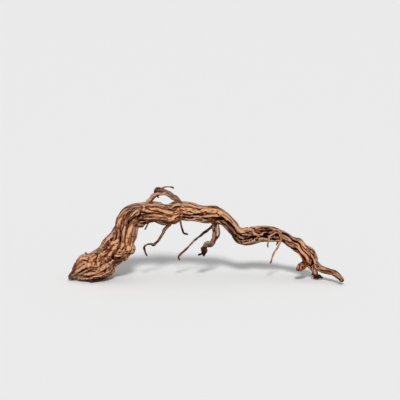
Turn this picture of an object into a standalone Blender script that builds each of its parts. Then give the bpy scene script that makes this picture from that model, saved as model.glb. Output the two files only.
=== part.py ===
"""A dry, twisted root that arches over the surface on its swollen butt and its forked tips.

The trunk is a bundle of strands that run along one bent route and are grown together.
The forks, the small arch on top and the rootlets are tubes that are sunk into it.
Lengths are in millimetres and turned to metres where a mesh is made.
The root lies along X, its cut butt at -X, its forked tips at +X, and it stands on Z = 0.
"""
import math

import bmesh
import bpy
from mathutils import Vector

MM = 0.001

NAME = "dry_root"

# The bundles that make the trunk, the second where the first runs out: how many strands,
# their radius as a share of the trunk's, and where they start and end along the trunk
BUNDLES = [
    (11, 0.215, 0, 330),
    (7, 0.30, 280, 700),
]
CORE_SHARE = 0.67
STRAND_REACH = 0.83
TWIST_PER_MM = 0.0042

# How a strand strays from its even place: angle in radians, shares of the radius, and wave lengths
WANDER_ANGLE = 0.26
WANDER_WAVE = 17.0
WANDER_WAVE_STEP = 2.3
WAVE_KINDS = 4
SWELL_SHARE = 0.16
SWELL_WAVE = 13.0
SLOW_SWELL_SHARE = 0.10
SLOW_SWELL_WAVE = 31.0
REACH_SHARE = 0.06
REACH_WAVE = 23.0

# What sets each strand's waves apart from its neighbour's, in radians
WANDER_PHASE = 1.9
SWELL_PHASE = 2.7
SLOW_SWELL_PHASE = 1.3
REACH_PHASE = 4.1

# A strand that starts or ends on the way sinks in to this share of its size over this length
FADE_SHARE = 0.4
FADE_LENGTH = 30.0
SUNK_SHARE = 0.5
SUNK_RADIUS_SHARE = 0.6

# How finely the tubes are made; the sides are Blender's bevel resolution, n giving 2n + 4 sides
ROUTE_STEP = 4.0
ROOTLET_STEP = 8.0
LEAST_RADIUS = 0.5
CORE_SIDES = 4
FORK_SIDES = 3
STRAND_SIDES = 2
ROOTLET_SIDES = 1
WELD_DISTANCE = 0.001
CLEAN_DISTANCE = 0.02

# The skin that joins the bundle
SKIN_CELL = 1.6
BODY_TRIANGLES = 9500

# The flat that the weather and its own weight left under the root
REST_SLAB = (600.0, 600.0, 20.0)

WOOD_COLOUR = (0.29, 0.15, 0.085, 1.0)
WOOD_ROUGHNESS = 0.85

# Routes: x, y, z of the middle line, then the radius
TRUNK = [
    (-224, -4, 4.0, 3.5),
    (-215, -4, 8.5, 8.0),
    (-205, -3, 15, 15.0),
    (-192, -2, 22, 22.5),
    (-177, 0, 25, 25.0),
    (-162, 2, 36, 25.0),
    (-150, 4, 51, 24.5),
    (-138, 7, 65, 21.5),
    (-130, 10, 81, 18.0),
    (-127, 12, 96, 17.0),
    (-121, 13, 105, 16.5),
    (-110, 14, 107.5, 16.8),
    (-97, 15, 108.5, 17.5),
    (-81, 16, 110, 17.0),
    (-67, 17, 106, 17.5),
    (-54, 18, 108.5, 16.5),
    (-40, 19, 111, 14.8),
    (-25, 20, 110, 14.5),
    (-9, 20, 106, 13.5),
    (4, 20, 104, 14.0),
    (17, 20, 104.5, 13.4),
    (30, 20, 97.5, 11.6),
    (40, 20, 86, 11.4),
    (50, 20, 75, 11.4),
    (60, 20, 68, 12.4),
    (72, 20, 69, 13.6),
    (85, 19, 72, 13.0),
    (98, 18, 74, 11.6),
    (111, 16, 73, 11.4),
    (125, 14, 69, 9.2),
    (139, 12, 62, 9.4),
    (152, 10, 56.5, 9.0),
    (163, 8, 50, 9.2),
    (172, 5, 40.5, 8.4),
    (177, 3, 30, 7.4),
    (180, 4, 21, 5.4),
]

FORKS = [
    # the cut stub that bends down in front
    [(126, 6, 66, 4.0), (138, 3, 61, 5.2), (150.5, -1, 50, 5.6), (160, -5, 40.5, 5.6),
     (164, -8, 33, 6.0), (160, -11, 28, 7.0), (151, -14, 22.5, 8.0)],
    # the foot that carries this end
    [(165, 2, 37, 7.0), (170, 2, 28, 7.0), (176, 3, 18, 5.6), (180, 4, 9, 5.2), (183, 4, -4, 4.8)],
    # the tip that reaches forward
    [(170, 2, 38, 6.0), (181, -2, 29, 5.4), (189, -9, 21.5, 5.2), (202, -18, 18.5, 5.0),
     (209, -25, 16.5, 5.2), (217, -31, 11, 4.4), (223.5, -37, 5, 2.7)],
]

# Swellings: x, y, z, radius
KNOBS = [
    (-124, 3, 52, 10.0),
    (-134, 0, 42, 10.5),
    (-157, 0, 17, 11.5),
    (-196, -6, 42, 4.5),
    (-185, -14, 8.5, 10.0),
    (-170, 15, 9, 10.5),
    (-149, -9, 60, 9.0),
    (-150, 14, 30, 10.0),
    (-135, 20, 66, 9.0),
    (-168, -14, 40, 9.0),
    (-104, 20, 96, 9.0),
    (-106, 8, 94, 8.0),
    (64, 27, 62, 6.0),
    (92, 9, 66, 5.5),
    (-146, -12, 40, 7.0),
]

# Bold strands that stand out of the bundle: x, y, z, radius
RIDGES = [
    # down the front of the neck, on its inner side
    [(-112, -2, 100, 3.5), (-119, -4, 96, 4.6), (-122, -6, 86, 5.0), (-122, -8, 74, 5.0),
     (-124, -10, 62, 4.8), (-130, -13, 50, 4.4), (-139, -15, 42, 3.6)],
    # down the outer side of the neck into the butt
    [(-132, -2, 104, 3.6), (-140, -4, 94, 4.2), (-143, -7, 80, 4.2), (-149, -12, 65.5, 4.4),
     (-160, -17, 53, 4.4), (-176, -19, 43, 4.2), (-191, -17, 32, 4.0), (-208, -9, 17, 3.4)],
    # three that run over the butt to its tip
    [(-148, -19, 40, 4.0), (-160, -23, 31, 4.4), (-174, -24, 23, 4.4), (-188, -22, 18, 4.2),
     (-202, -15, 13, 3.8), (-217, -8, 8, 3.0)],
    [(-150, -14, 24, 3.6), (-162, -20, 17, 4.2), (-176, -22, 11, 4.4), (-191, -18, 8, 4.0),
     (-206, -12, 6, 3.2)],
    [(-172, 0, 49, 3.6), (-185, -3, 43.5, 4.2), (-198, -5, 33, 4.0), (-210, -5, 20, 3.4)],
    # up the middle of the neck and over the bend
    [(-135, -12, 56, 3.6), (-133, -9, 70, 4.2), (-134, -7, 83, 4.4), (-131, -5, 96, 4.2),
     (-122, -4, 108, 4.0), (-109, -2, 114, 3.6)],
    # along the crest, then down the far slope
    [(-8, 9, 112, 3.2), (6, 8, 113.5, 3.8), (18, 9, 113.5, 4.0), (29, 10, 107, 4.2), (41, 10, 94, 4.2),
     (52, 10, 81.5, 4.2), (62, 10, 76, 3.8), (76, 10, 78, 3.2)],
    # the pair along the front of the level stretch
    [(-106, 0, 117, 3.4), (-93, -1, 117, 3.8), (-78, 0, 119, 3.6), (-62, 1, 113, 3.4),
     (-46, 4, 117, 3.2)],
    [(-98, -2, 103, 3.6), (-84, -2, 103, 4.0), (-70, -1, 100, 4.0), (-55, 1, 102, 3.8),
     (-40, 4, 107, 3.4), (-24, 6, 107, 3.4), (-8, 7, 103, 3.2)],
    # along the lower front of the level stretch and under the slope
    [(-30, 5, 104, 3.0), (-14, 6, 98, 3.4), (2, 6, 96, 3.6), (17, 7, 97, 3.6), (30, 8, 90, 3.4),
     (41, 9, 78, 3.4), (51, 9, 66, 3.2), (62, 9, 59, 3.0)],
    [(-42, 6, 118, 3.0), (-26, 6, 116, 3.4), (-10, 6, 110, 3.4), (4, 5, 104, 3.4), (18, 6, 104, 3.2)],
    # between the twisted stretch and the forks
    [(118, 5, 76, 3.0), (130, 3, 70, 3.4), (143, 1, 63.5, 3.4), (154, 0, 55, 3.4), (164, -1, 45, 3.4),
     (172, -2, 36, 3.0)],
    # the twisted pair before the forks
    [(60, 8, 62, 3.0), (74, 6, 64, 3.6), (88, 6, 72, 3.6), (101, 7, 80, 3.4), (115, 8, 80, 3.2)],
    [(64, 11, 76, 3.0), (78, 7, 76, 3.4), (91, 6, 66, 3.2), (104, 6, 65, 3.2), (118, 5, 66, 3.2),
     (131, 4, 65, 3.2)],
]

ROOTLETS = [
    # the arch on top: its long leg, its short leg, the twig on its knob and the barb
    [(-83, 8, 145.5, 3.4), (-80.5, 8, 147.5, 4.3), (-75, 9, 149.5, 4.0), (-66, 10, 146, 3.6),
     (-56, 10, 140.5, 3.6), (-47, 11, 132.5, 3.7), (-40, 12, 123, 3.8), (-36, 14, 113, 3.8)],
    [(-100, 12, 118, 3.6), (-98.5, 10, 124, 3.2), (-94, 9, 131, 2.7), (-87, 8, 138, 2.7),
     (-81, 8, 143, 2.8), (-74, 9, 145, 2.4)],
    [(-80, 8, 147, 2.4), (-70, 8, 151.5, 2.0), (-61, 7, 153.5, 1.9), (-55, 6, 152, 1.8),
     (-52, 5, 149.5, 1.5)],
    [(-80, 8, 142, 1.8), (-78, 7, 139, 1.7), (-75, 6, 136, 1.3)],
    # the thin root draped over the front
    [(-41, 22, 124, 1.8), (-40, 14, 126.5, 1.8), (-39, 7, 123, 1.8), (-39, 3, 113, 1.8),
     (-40, 3, 100, 1.7), (-39, 5, 89, 1.7), (-37, 6, 79, 1.6), (-32.5, 6, 75.5, 1.5),
     (-28, 7, 74.5, 1.3)],
    # the snag under the bend
    [(-90, 14, 98, 2.0), (-93, 12, 92, 1.8), (-98, 11, 82, 1.4)],
    # the bent rootlet
    [(-48, 16, 101, 3.2), (-57, 15, 90, 2.8), (-67, 12, 81, 2.4), (-72, 9, 70, 2.3), (-78, 7, 62, 2.2),
     (-84, 5, 57, 2.4), (-90, 4, 58, 2.0), (-98, 2.5, 56.5, 2.2), (-101, 2, 52, 2.0),
     (-99.5, 3, 44, 1.8), (-97, 4, 38, 1.5)],
    # the loop close under the trunk
    [(-61, 15, 98, 1.9), (-54, 12, 92, 1.8), (-47, 11, 91, 1.8), (-41, 13, 95, 1.8),
     (-36, 17, 101, 1.8)],
    # the long straight rootlet
    [(18, 19, 95, 2.4), (9, 16, 83, 2.2), (-8.5, 15, 69, 2.0), (-26, 13, 54, 2.0),
     (-36.5, 12, 43.5, 1.9), (-44.5, 11, 34.5, 1.8), (-42, 11, 30.5, 1.4)],
    # the thick rootlet that hangs and crooks, with its two tips
    [(11, 19, 106, 5.4), (13, 17, 96, 5.0), (14, 14, 86, 4.8), (16, 10, 73, 4.6), (15, 8, 64, 4.5),
     (11, 6, 58, 4.8), (6, 5, 57, 4.8), (1.5, 5, 57, 4.4), (-1.5, 6, 53, 4.5), (-2.5, 6, 48, 4.6),
     (-3.5, 6, 43, 3.8), (-3, 7, 37, 2.0)],
    [(-3.5, 6, 45, 2.4), (-7, 5, 41, 1.9), (-12, 5, 39, 1.3)],
    # the thin root beside it
    [(15, 13, 99, 1.8), (20, 10, 94, 1.7), (22, 8, 82, 1.6), (22.5, 8, 76, 1.6), (19.5, 8.5, 69, 1.6),
     (14, 8, 63, 1.6)],
    # the thin root along the slope
    [(16, 11, 97, 2.0), (23, 10, 93, 1.9), (31, 9, 87, 1.8), (39, 9, 80, 1.8), (49, 11, 69, 1.8)],
    # the hook, the short tip and the long hanging root by the forks
    [(118, 10, 77, 1.9), (113, 5.5, 78, 1.8), (104.5, 4, 74, 1.8), (103, 4, 66, 1.8), (100, 4, 61, 1.6),
     (101.5, 5, 54.5, 1.4)],
    [(119, 14, 68, 1.8), (118, 12, 64, 1.7), (115, 11, 57, 1.3)],
    [(104, 12, 82, 2.2), (112, 6, 82, 2.1), (119, 4, 79, 2.1), (123, 3, 74, 2.0), (122, 1.5, 65, 1.9),
     (118, 0, 54, 1.8), (111, -1, 43.5, 1.7), (106.5, -3, 27.5, 1.4)],
    # the nub on the stub and the toes of the foot
    [(160, -8, 32, 2.6), (163, -12, 28, 1.8)],
    [(180, 4, 9, 3.0), (176, -1, 9, 2.4), (172, -4, 8.5, 1.6)],
    [(178, 4, 16, 3.0), (174, 0, 15, 2.2), (170, -3, 14, 1.5)],
    [(182, 4, 5, 3.2), (187, 2, 3.5, 2.6), (192, 1, 2.2, 1.6)],
]


def clear_scene():
    for item in list(bpy.data.objects):
        bpy.data.objects.remove(item, do_unlink=True)


def new_collection(name):
    group = bpy.data.collections.new(name)
    bpy.context.scene.collection.children.link(group)
    return group


def smooth_route(points, step):
    """A Catmull-Rom line through the points, as (place, radius) pairs about one step apart."""
    knots = [Vector(p) for p in points]
    knots = [2 * knots[0] - knots[1]] + knots + [2 * knots[-1] - knots[-2]]
    route = []
    for a, b, c, d in zip(knots, knots[1:], knots[2:], knots[3:]):
        count = max(1, round((c.xyz - b.xyz).length / step))
        for i in range(count):
            t = i / count
            spot = 0.5 * (2 * b + (c - a) * t + (2 * a - 5 * b + 4 * c - d) * t ** 2
                          + (3 * b - a - 3 * c + d) * t ** 3)
            route.append((spot.xyz, max(spot.w, LEAST_RADIUS)))
    end = knots[-2]
    route.append((end.xyz, end.w))
    return route


def route_lengths(route):
    lengths = [0.0]
    for (a, _), (b, _) in zip(route, route[1:]):
        lengths.append(lengths[-1] + (b - a).length)
    return lengths


def tube(name, route, group, sides):
    """A closed mesh tube of varying radius along a route."""
    curve = bpy.data.curves.new(name, "CURVE")
    curve.dimensions = "3D"
    curve.bevel_depth = MM
    curve.bevel_resolution = sides
    curve.use_fill_caps = True
    spline = curve.splines.new("POLY")
    spline.points.add(len(route) - 1)
    for point, (place, radius) in zip(spline.points, route):
        point.co = (*(place * MM), 1.0)
        point.radius = radius
    return mesh_from_curve(name, curve, group)


def mesh_from_curve(name, curve, group):
    guide = bpy.data.objects.new(name + "_guide", curve)
    group.objects.link(guide)
    evaluated = guide.evaluated_get(bpy.context.evaluated_depsgraph_get())
    mesh = bpy.data.meshes.new_from_object(evaluated)
    weld = bmesh.new()
    weld.from_mesh(mesh)
    bmesh.ops.remove_doubles(weld, verts=weld.verts, dist=WELD_DISTANCE * MM)
    bmesh.ops.recalc_face_normals(weld, faces=weld.faces)
    weld.to_mesh(mesh)
    weld.free()
    item = bpy.data.objects.new(name, mesh)
    item.matrix_world = guide.matrix_world
    group.objects.link(item)
    bpy.data.objects.remove(guide, do_unlink=True)
    return item


def knob(name, place, radius, group):
    mesh = bpy.data.meshes.new(name)
    ball = bmesh.new()
    bmesh.ops.create_icosphere(ball, subdivisions=3, radius=radius * MM)
    bmesh.ops.translate(ball, verts=ball.verts, vec=Vector(place) * MM)
    ball.to_mesh(mesh)
    ball.free()
    item = bpy.data.objects.new(name, mesh)
    group.objects.link(item)
    return item


def strand_fade(s, first, last):
    """How far a strand has come out of the trunk at this length along it."""
    rise = 1.0 if first <= 0 else FADE_SHARE + (s - first) / FADE_LENGTH
    fall = FADE_SHARE + (last - s) / FADE_LENGTH
    return min(1.0, rise, fall)


def strand_route(route, number, count, share, first, last):
    """One strand of a bundle: it winds slowly round the trunk, wanders and swells as it goes."""
    start = 2 * math.pi * number / count
    wander_wave = WANDER_WAVE + WANDER_WAVE_STEP * (number % WAVE_KINDS)
    strand = []
    for i, s in enumerate(route_lengths(route)):
        if not first <= s <= last:
            continue
        place, radius = route[i]
        along = (route[min(i + 1, len(route) - 1)][0] - route[max(i - 1, 0)][0]).normalized()
        front = Vector((0, -1, 0))
        front = (front - along * front.dot(along)).normalized()
        over = front.cross(along)
        angle = start + TWIST_PER_MM * s + WANDER_ANGLE * math.sin(s / wander_wave + WANDER_PHASE * number)
        swell = 1 + SWELL_SHARE * math.sin(s / SWELL_WAVE + SWELL_PHASE * number)
        swell += SLOW_SWELL_SHARE * math.sin(s / SLOW_SWELL_WAVE + SLOW_SWELL_PHASE * number)
        reach = STRAND_REACH + REACH_SHARE * math.sin(s / REACH_WAVE + REACH_PHASE * number)
        size = radius * strand_fade(s, first, last)
        offset = front * math.cos(angle) + over * math.sin(angle)
        strand.append((place + offset * size * reach, size * share * swell))
    return strand


def sunk_ends(points, route):
    """The same points with one added before and after, sunk towards the trunk's middle."""
    ends = []
    for spot in (points[0], points[-1]):
        place = Vector(spot[:3])
        middle = min((centre for centre, _ in route), key=lambda centre: (centre - place).length)
        ends.append((*place.lerp(middle, SUNK_SHARE), SUNK_RADIUS_SHARE * spot[3]))
    return [ends[0], *points, ends[1]]


def lay_trunk(group):
    """The core, its strands, ridges, forks and knobs, as tubes and balls that cross one another."""
    route = smooth_route(TRUNK, ROUTE_STEP)
    core = [(place, radius * CORE_SHARE) for place, radius in route]
    tube("core", core, group, CORE_SIDES)
    for count, share, first, last in BUNDLES:
        for number in range(count):
            tube("strand", strand_route(route, number, count, share, first, last), group, STRAND_SIDES)
    for points in RIDGES:
        tube("ridge", smooth_route(sunk_ends(points, route), ROUTE_STEP), group, STRAND_SIDES)
    for points in FORKS:
        tube("fork", smooth_route(points, ROUTE_STEP), group, FORK_SIDES)
    for x, y, z, radius in KNOBS:
        knob("knob", (x, y, z), radius, group)


def joined_mesh(name, items):
    gathered = bmesh.new()
    for item in items:
        gathered.from_mesh(item.data)
    mesh = bpy.data.meshes.new(name)
    gathered.to_mesh(mesh)
    gathered.free()
    return mesh


def remove_all(items):
    for item in list(items):
        bpy.data.objects.remove(item, do_unlink=True)


def bake_modifiers(item):
    evaluated = item.evaluated_get(bpy.context.evaluated_depsgraph_get())
    mesh = bpy.data.meshes.new_from_object(evaluated)
    item.modifiers.clear()
    item.data = mesh


def count_triangles(mesh):
    return sum(len(face.vertices) - 2 for face in mesh.polygons)


def grow_skin(name, items, group):
    """One skin over the crossing strands, thinned to a steady number of triangles."""
    item = bpy.data.objects.new(name, joined_mesh(name, items))
    group.objects.link(item)
    skin = item.modifiers.new("skin", "REMESH")
    skin.mode = "VOXEL"
    skin.voxel_size = SKIN_CELL * MM
    bake_modifiers(item)
    thin = item.modifiers.new("thin", "DECIMATE")
    thin.ratio = BODY_TRIANGLES / count_triangles(item.data)
    bake_modifiers(item)
    return item


def fuse_rootlets(body, cutters):
    """Joins the thin roots, which are too fine for the skin, with few-sided tubes sunk into it."""
    for points in ROOTLETS:
        tube("rootlet", smooth_route(points, ROOTLET_STEP), cutters, ROOTLET_SIDES)
    union = body.modifiers.new("fuse", "BOOLEAN")
    union.operation = "UNION"
    union.solver = "EXACT"
    union.operand_type = "COLLECTION"
    union.collection = cutters
    union.use_self = True
    bake_modifiers(body)
    remove_all(cutters.objects)


def flatten_rest(body, cutters):
    """Cuts the underside level, so that the root stands on flats."""
    bpy.ops.mesh.primitive_cube_add(size=1)
    slab = bpy.context.object
    slab.name = "rest_slab"
    slab.scale = Vector(REST_SLAB) * MM
    slab.location = (0, 0, -0.5 * REST_SLAB[2] * MM)
    slab.hide_render = True
    slab.display_type = "WIRE"
    for group in list(slab.users_collection):
        group.objects.unlink(slab)
    cutters.objects.link(slab)
    cut = body.modifiers.new("rest", "BOOLEAN")
    cut.operation = "DIFFERENCE"
    cut.solver = "EXACT"
    cut.object = slab
    bake_modifiers(body)
    bpy.data.objects.remove(slab, do_unlink=True)


def clean_mesh(body):
    """Welds, splits every face into triangles, and puts the middle of the box on the origin."""
    shape = bmesh.new()
    shape.from_mesh(body.data)
    bmesh.ops.remove_doubles(shape, verts=shape.verts, dist=CLEAN_DISTANCE * MM)
    bmesh.ops.dissolve_degenerate(shape, edges=shape.edges, dist=CLEAN_DISTANCE * MM)
    bmesh.ops.triangulate(shape, faces=shape.faces)
    keep_largest(shape)
    low = [min(v.co[k] for v in shape.verts) for k in range(3)]
    high = [max(v.co[k] for v in shape.verts) for k in range(3)]
    shift = Vector((-(low[0] + high[0]) / 2, -(low[1] + high[1]) / 2, -low[2]))
    bmesh.ops.translate(shape, verts=shape.verts, vec=shift)
    bmesh.ops.recalc_face_normals(shape, faces=shape.faces)
    shape.to_mesh(body.data)
    shape.free()


def keep_largest(shape):
    """Drops sealed hollows and loose scraps, and keeps the one outer body."""
    seen = set()
    bodies = []
    for face in shape.faces:
        if face in seen:
            continue
        group = {face}
        queue = [face]
        while queue:
            for edge in queue.pop().edges:
                for other in edge.link_faces:
                    if other not in group:
                        group.add(other)
                        queue.append(other)
        seen |= group
        bodies.append(group)
    bodies.sort(key=len)
    scraps = [face for group in bodies[:-1] for face in group]
    bmesh.ops.delete(shape, geom=scraps, context="FACES")


def wood():
    material = bpy.data.materials.new("root_wood")
    material.use_nodes = True
    shader = material.node_tree.nodes["Principled BSDF"]
    shader.inputs["Base Color"].default_value = WOOD_COLOUR
    shader.inputs["Roughness"].default_value = WOOD_ROUGHNESS
    shader.inputs["Metallic"].default_value = 0.0
    return material


def main():
    clear_scene()
    parts = new_collection(NAME)
    cutters = new_collection("cutters")
    lay_trunk(cutters)
    body = grow_skin(NAME, cutters.objects, parts)
    remove_all(cutters.objects)
    fuse_rootlets(body, cutters)
    flatten_rest(body, cutters)
    clean_mesh(body)
    body.data.materials.clear()
    body.data.materials.append(wood())
    body.data.shade_smooth()


main()
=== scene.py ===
import math

import bmesh
import bpy
import numpy as np
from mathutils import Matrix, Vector


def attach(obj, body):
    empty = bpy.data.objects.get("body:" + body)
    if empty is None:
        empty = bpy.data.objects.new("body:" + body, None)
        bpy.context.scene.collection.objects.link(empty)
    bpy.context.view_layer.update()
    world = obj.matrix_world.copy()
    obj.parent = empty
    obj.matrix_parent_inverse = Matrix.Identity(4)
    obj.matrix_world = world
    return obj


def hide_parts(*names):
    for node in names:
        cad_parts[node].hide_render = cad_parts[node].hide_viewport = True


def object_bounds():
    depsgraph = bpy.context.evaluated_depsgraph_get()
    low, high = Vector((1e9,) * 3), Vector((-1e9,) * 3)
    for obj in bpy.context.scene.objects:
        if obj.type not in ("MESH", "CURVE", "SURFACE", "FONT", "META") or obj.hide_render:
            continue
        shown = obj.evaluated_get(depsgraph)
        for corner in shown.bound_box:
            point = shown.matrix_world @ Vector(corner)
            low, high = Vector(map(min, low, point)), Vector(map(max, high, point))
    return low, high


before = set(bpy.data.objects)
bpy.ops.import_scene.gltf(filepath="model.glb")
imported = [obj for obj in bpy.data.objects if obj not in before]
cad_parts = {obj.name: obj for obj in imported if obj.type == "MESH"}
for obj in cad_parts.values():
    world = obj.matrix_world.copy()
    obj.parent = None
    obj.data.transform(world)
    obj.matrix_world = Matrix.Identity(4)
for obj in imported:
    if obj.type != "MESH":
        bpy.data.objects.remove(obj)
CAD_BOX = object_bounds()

# A dry root that arches over the surface: a bundle of grown-together strands, with thin rootlets.
# Lengths are in millimetres until a mesh is written.
MM = 0.001

# The routes were laid out before the box's middle was put on the origin, which this makes up for
ROUTE_SHIFT = (0.01, 1.73, 0.0)

# The trunk's bundles: how many strands, their radius as a share of the trunk's, start and end
BUNDLES = [
    (11, 0.215, 0, 330),
    (7, 0.30, 280, 700),
]

# The core's radius and the strands' distance from the middle, as shares of the trunk's radius
CORE_SHARE = 0.67
STRAND_REACH = 0.83
# How strands wind, wander, swell and reach out: angles and phases in radians, waves in mm of length
TWIST_PER_MM = 0.0042
WANDER_ANGLE = 0.26
WANDER_WAVE = 17.0
WANDER_WAVE_STEP = 2.3
WAVE_KINDS = 4
SWELL_SHARE = 0.16
SWELL_WAVE = 13.0
SLOW_SWELL_SHARE = 0.10
SLOW_SWELL_WAVE = 31.0
REACH_SHARE = 0.06
REACH_WAVE = 23.0
WANDER_PHASE = 1.9
SWELL_PHASE = 2.7
SLOW_SWELL_PHASE = 1.3
REACH_PHASE = 4.1
# How strands come out of the trunk and sink into it, as shares of their size, over mm of length
FADE_SHARE = 0.4
FADE_LENGTH = 30.0
SUNK_SHARE = 0.5
SUNK_RADIUS_SHARE = 0.6

# How fine the tubes, the balls and the skins over them are
ROUTE_STEP = 1.5
LEAST_RADIUS = 0.5
CORE_SIDES = 14
STRAND_SIDES = 12
BALL_SUBDIVISIONS = 3
TRUNK_CELL = 1.03
ROOTLET_CELL = 0.6
# A loose part of a skin with fewer vertices than this is a scrap or a sealed hollow
TRUNK_LEAST_BODY = 5000
ROOTLET_LEAST_BODY = 150
# What evening out takes off a thin rootlet's radius
SKIN_LOSS = 0.3

# The trunk's route: x, y, z of the middle line, then the radius, as in all the routes up to the ridges
TRUNK = [
    (-224, -4, 4.0, 3.5),
    (-215, -4, 8.5, 8.0),
    (-205, -3, 15, 15.0),
    (-192, -2, 22, 22.5),
    (-177, 0, 25, 25.0),
    (-162, 2, 36, 25.0),
    (-150, 4, 51, 24.5),
    (-138, 7, 65, 21.5),
    (-130, 10, 81, 18.0),
    (-127, 12, 96, 17.0),
    (-121, 13, 105, 16.5),
    (-110, 14, 107.5, 16.8),
    (-97, 15, 108.5, 17.5),
    (-81, 16, 110, 17.0),
    (-67, 17, 106, 17.5),
    (-54, 18, 108.5, 16.5),
    (-40, 19, 111, 14.8),
    (-25, 20, 110, 14.5),
    (-9, 20, 106, 13.5),
    (4, 20, 104, 14.0),
    (17, 20, 104.5, 13.4),
    (30, 20, 97.5, 11.6),
    (40, 20, 86, 11.4),
    (50, 20, 75, 11.4),
    (60, 20, 68, 12.4),
    (72, 20, 69, 13.6),
    (85, 19, 72, 13.0),
    (98, 18, 74, 11.6),
    (111, 16, 73, 11.4),
    (125, 14, 69, 9.2),
    (139, 12, 62, 9.4),
    (152, 10, 56.5, 9.0),
    (163, 8, 50, 9.2),
    (172, 5, 40.5, 8.4),
    (177, 3, 30, 7.4),
    (180, 4, 21, 5.4),
]

# The forks at the far end
FORKS = [
    # the cut stub that bends down in front
    [(126, 6, 66, 4.0), (138, 3, 61, 5.2), (150.5, -1, 50, 5.6), (160, -5, 40.5, 5.6),
     (164, -8, 33, 5.8), (161, -11, 28.5, 6.2), (154.6, -13.5, 24, 6.2), (150.4, -14.6, 21.4, 4.6),
     (148.4, -15, 20, 2.0)],
    # the foot that carries this end
    [(165, 2, 37, 7.0), (170, 2, 28, 7.0), (177.6, 3, 18, 5.2), (180, 4, 9, 4.5), (181.6, 3.4, -0.5, 4.4)],
    # the tip that reaches forward
    [(170, 2, 38, 6.0), (181, -2, 28, 6.0), (189, -9, 20.6, 5.9), (202, -18, 18.3, 5.2),
     (209, -25, 18.0, 5.3), (214.5, -29, 14.9, 4.9), (219, -33, 11.2, 4.1), (223.2, -37, 7.6, 3.5)],
]

# Knobs: x, y, z of the middle and the radius
KNOBS = [
    (-124, 3, 52, 10.0),
    (-134, 0, 42, 10.5),
    (-157, 0, 17, 11.5),
    (-196, -6, 42, 4.5),
    (-185, -14, 8.5, 10.0),
    (-170, 15, 9, 10.5),
    (-149, -9, 60, 9.0),
    (-150, 14, 30, 10.0),
    (-135, 20, 66, 9.0),
    (-168, -14, 40, 9.0),
    (-104, 20, 96, 9.0),
    (-106, 8, 94, 8.0),
    (64, 27, 62, 6.0),
    (92, 9, 66, 5.5),
    (-146, -12, 40, 7.0),
]

# Single strands that stand out from the trunk
RIDGES = [
    # down the front of the neck, on its inner side
    [(-112, -2, 100, 3.5), (-119, -4, 96, 4.6), (-122, -6, 86, 5.0), (-122, -8, 74, 5.0),
     (-124, -10, 62, 4.8), (-130, -13, 50, 4.4), (-139, -15, 42, 3.6)],
    # down the outer side of the neck into the butt
    [(-132, -2, 104, 3.6), (-140, -4, 94, 4.2), (-143, -7, 80, 4.2), (-149, -12, 65.5, 4.4),
     (-160, -17, 53, 4.4), (-176, -19, 43, 4.2), (-191, -17, 32, 4.0), (-208, -9, 17, 3.4)],
    # three that run over the butt to its tip
    [(-148, -19, 40, 4.0), (-160, -23, 31, 4.4), (-174, -24, 23, 4.4), (-188, -22, 18, 4.2),
     (-202, -15, 13, 3.8), (-217, -8, 8, 3.0)],
    [(-150, -14, 24, 3.6), (-162, -20, 17, 4.2), (-176, -22, 11, 4.4), (-191, -18, 8, 4.0),
     (-206, -12, 6, 3.2)],
    [(-172, 0, 49, 3.6), (-185, -3, 43.5, 4.2), (-198, -5, 33, 4.0), (-210, -5, 20, 3.4)],
    # up the middle of the neck and over the bend
    [(-135, -12, 56, 3.6), (-133, -9, 70, 4.2), (-134, -7, 83, 4.4), (-131, -5, 96, 4.2),
     (-122, -4, 108, 4.0), (-109, -2, 114, 3.6)],
    # along the crest, then down the far slope
    [(-8, 9, 112, 3.2), (6, 8, 113.5, 3.8), (18, 9, 113.5, 4.0), (29, 10, 107, 4.2), (41, 10, 94, 4.2),
     (52, 10, 81.5, 4.2), (62, 10, 76, 3.8), (76, 10, 78, 3.2)],
    # a low one across the foot of the arch
    [(-58, 6, 119, 3.0), (-50, 6, 122.4, 3.4), (-44, 7, 123.4, 3.6), (-38, 8, 122, 3.2)],
    # the pair along the front of the level stretch
    [(-106, 0, 117, 3.4), (-93, -1, 117, 3.8), (-78, 0, 119, 3.6), (-62, 1, 113, 3.4),
     (-46, 4, 117, 3.2)],
    [(-98, -2, 103, 3.6), (-84, -2, 103, 4.0), (-70, -1, 100, 4.0), (-55, 1, 102, 3.8),
     (-40, 4, 107, 3.4), (-24, 6, 107, 3.4), (-8, 7, 103, 3.2)],
    # along the lower front of the level stretch and under the slope
    [(-30, 5, 104, 3.0), (-14, 6, 98, 3.4), (2, 6, 96, 3.6), (17, 7, 97, 3.6), (30, 8, 90, 3.4),
     (41, 9, 78, 3.4), (51, 9, 66, 3.2), (62, 9, 59, 3.0)],
    [(-42, 6, 118, 3.0), (-26, 6, 116, 3.4), (-10, 6, 110, 3.4), (4, 5, 104, 3.4), (18, 6, 104, 3.2)],
    # along the top of the forks
    [(140, 6, 69.0, 3.0), (152, 4, 63, 3.6), (161, 3, 56, 4.0), (169, 2, 48, 3.4), (175, 1, 40, 3.4),
     (179, 0, 31, 3.0)],
    # between the twisted stretch and the forks
    [(118, 5, 76, 3.0), (130, 3, 70, 3.4), (143, 1, 63.5, 3.4), (154, 0, 55, 3.4), (164, -1, 45, 3.4),
     (172, -2, 36, 3.0)],
    # the twisted pair before the forks
    [(60, 8, 62, 3.0), (74, 6, 64, 3.6), (88, 6, 72, 3.6), (101, 7, 80, 3.4), (115, 8, 80, 3.2)],
    [(64, 11, 76, 3.0), (78, 7, 76, 3.4), (91, 6, 66, 3.2), (104, 6, 65, 3.2), (118, 5, 66, 3.2),
     (131, 4, 65, 3.2)],
]

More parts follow.
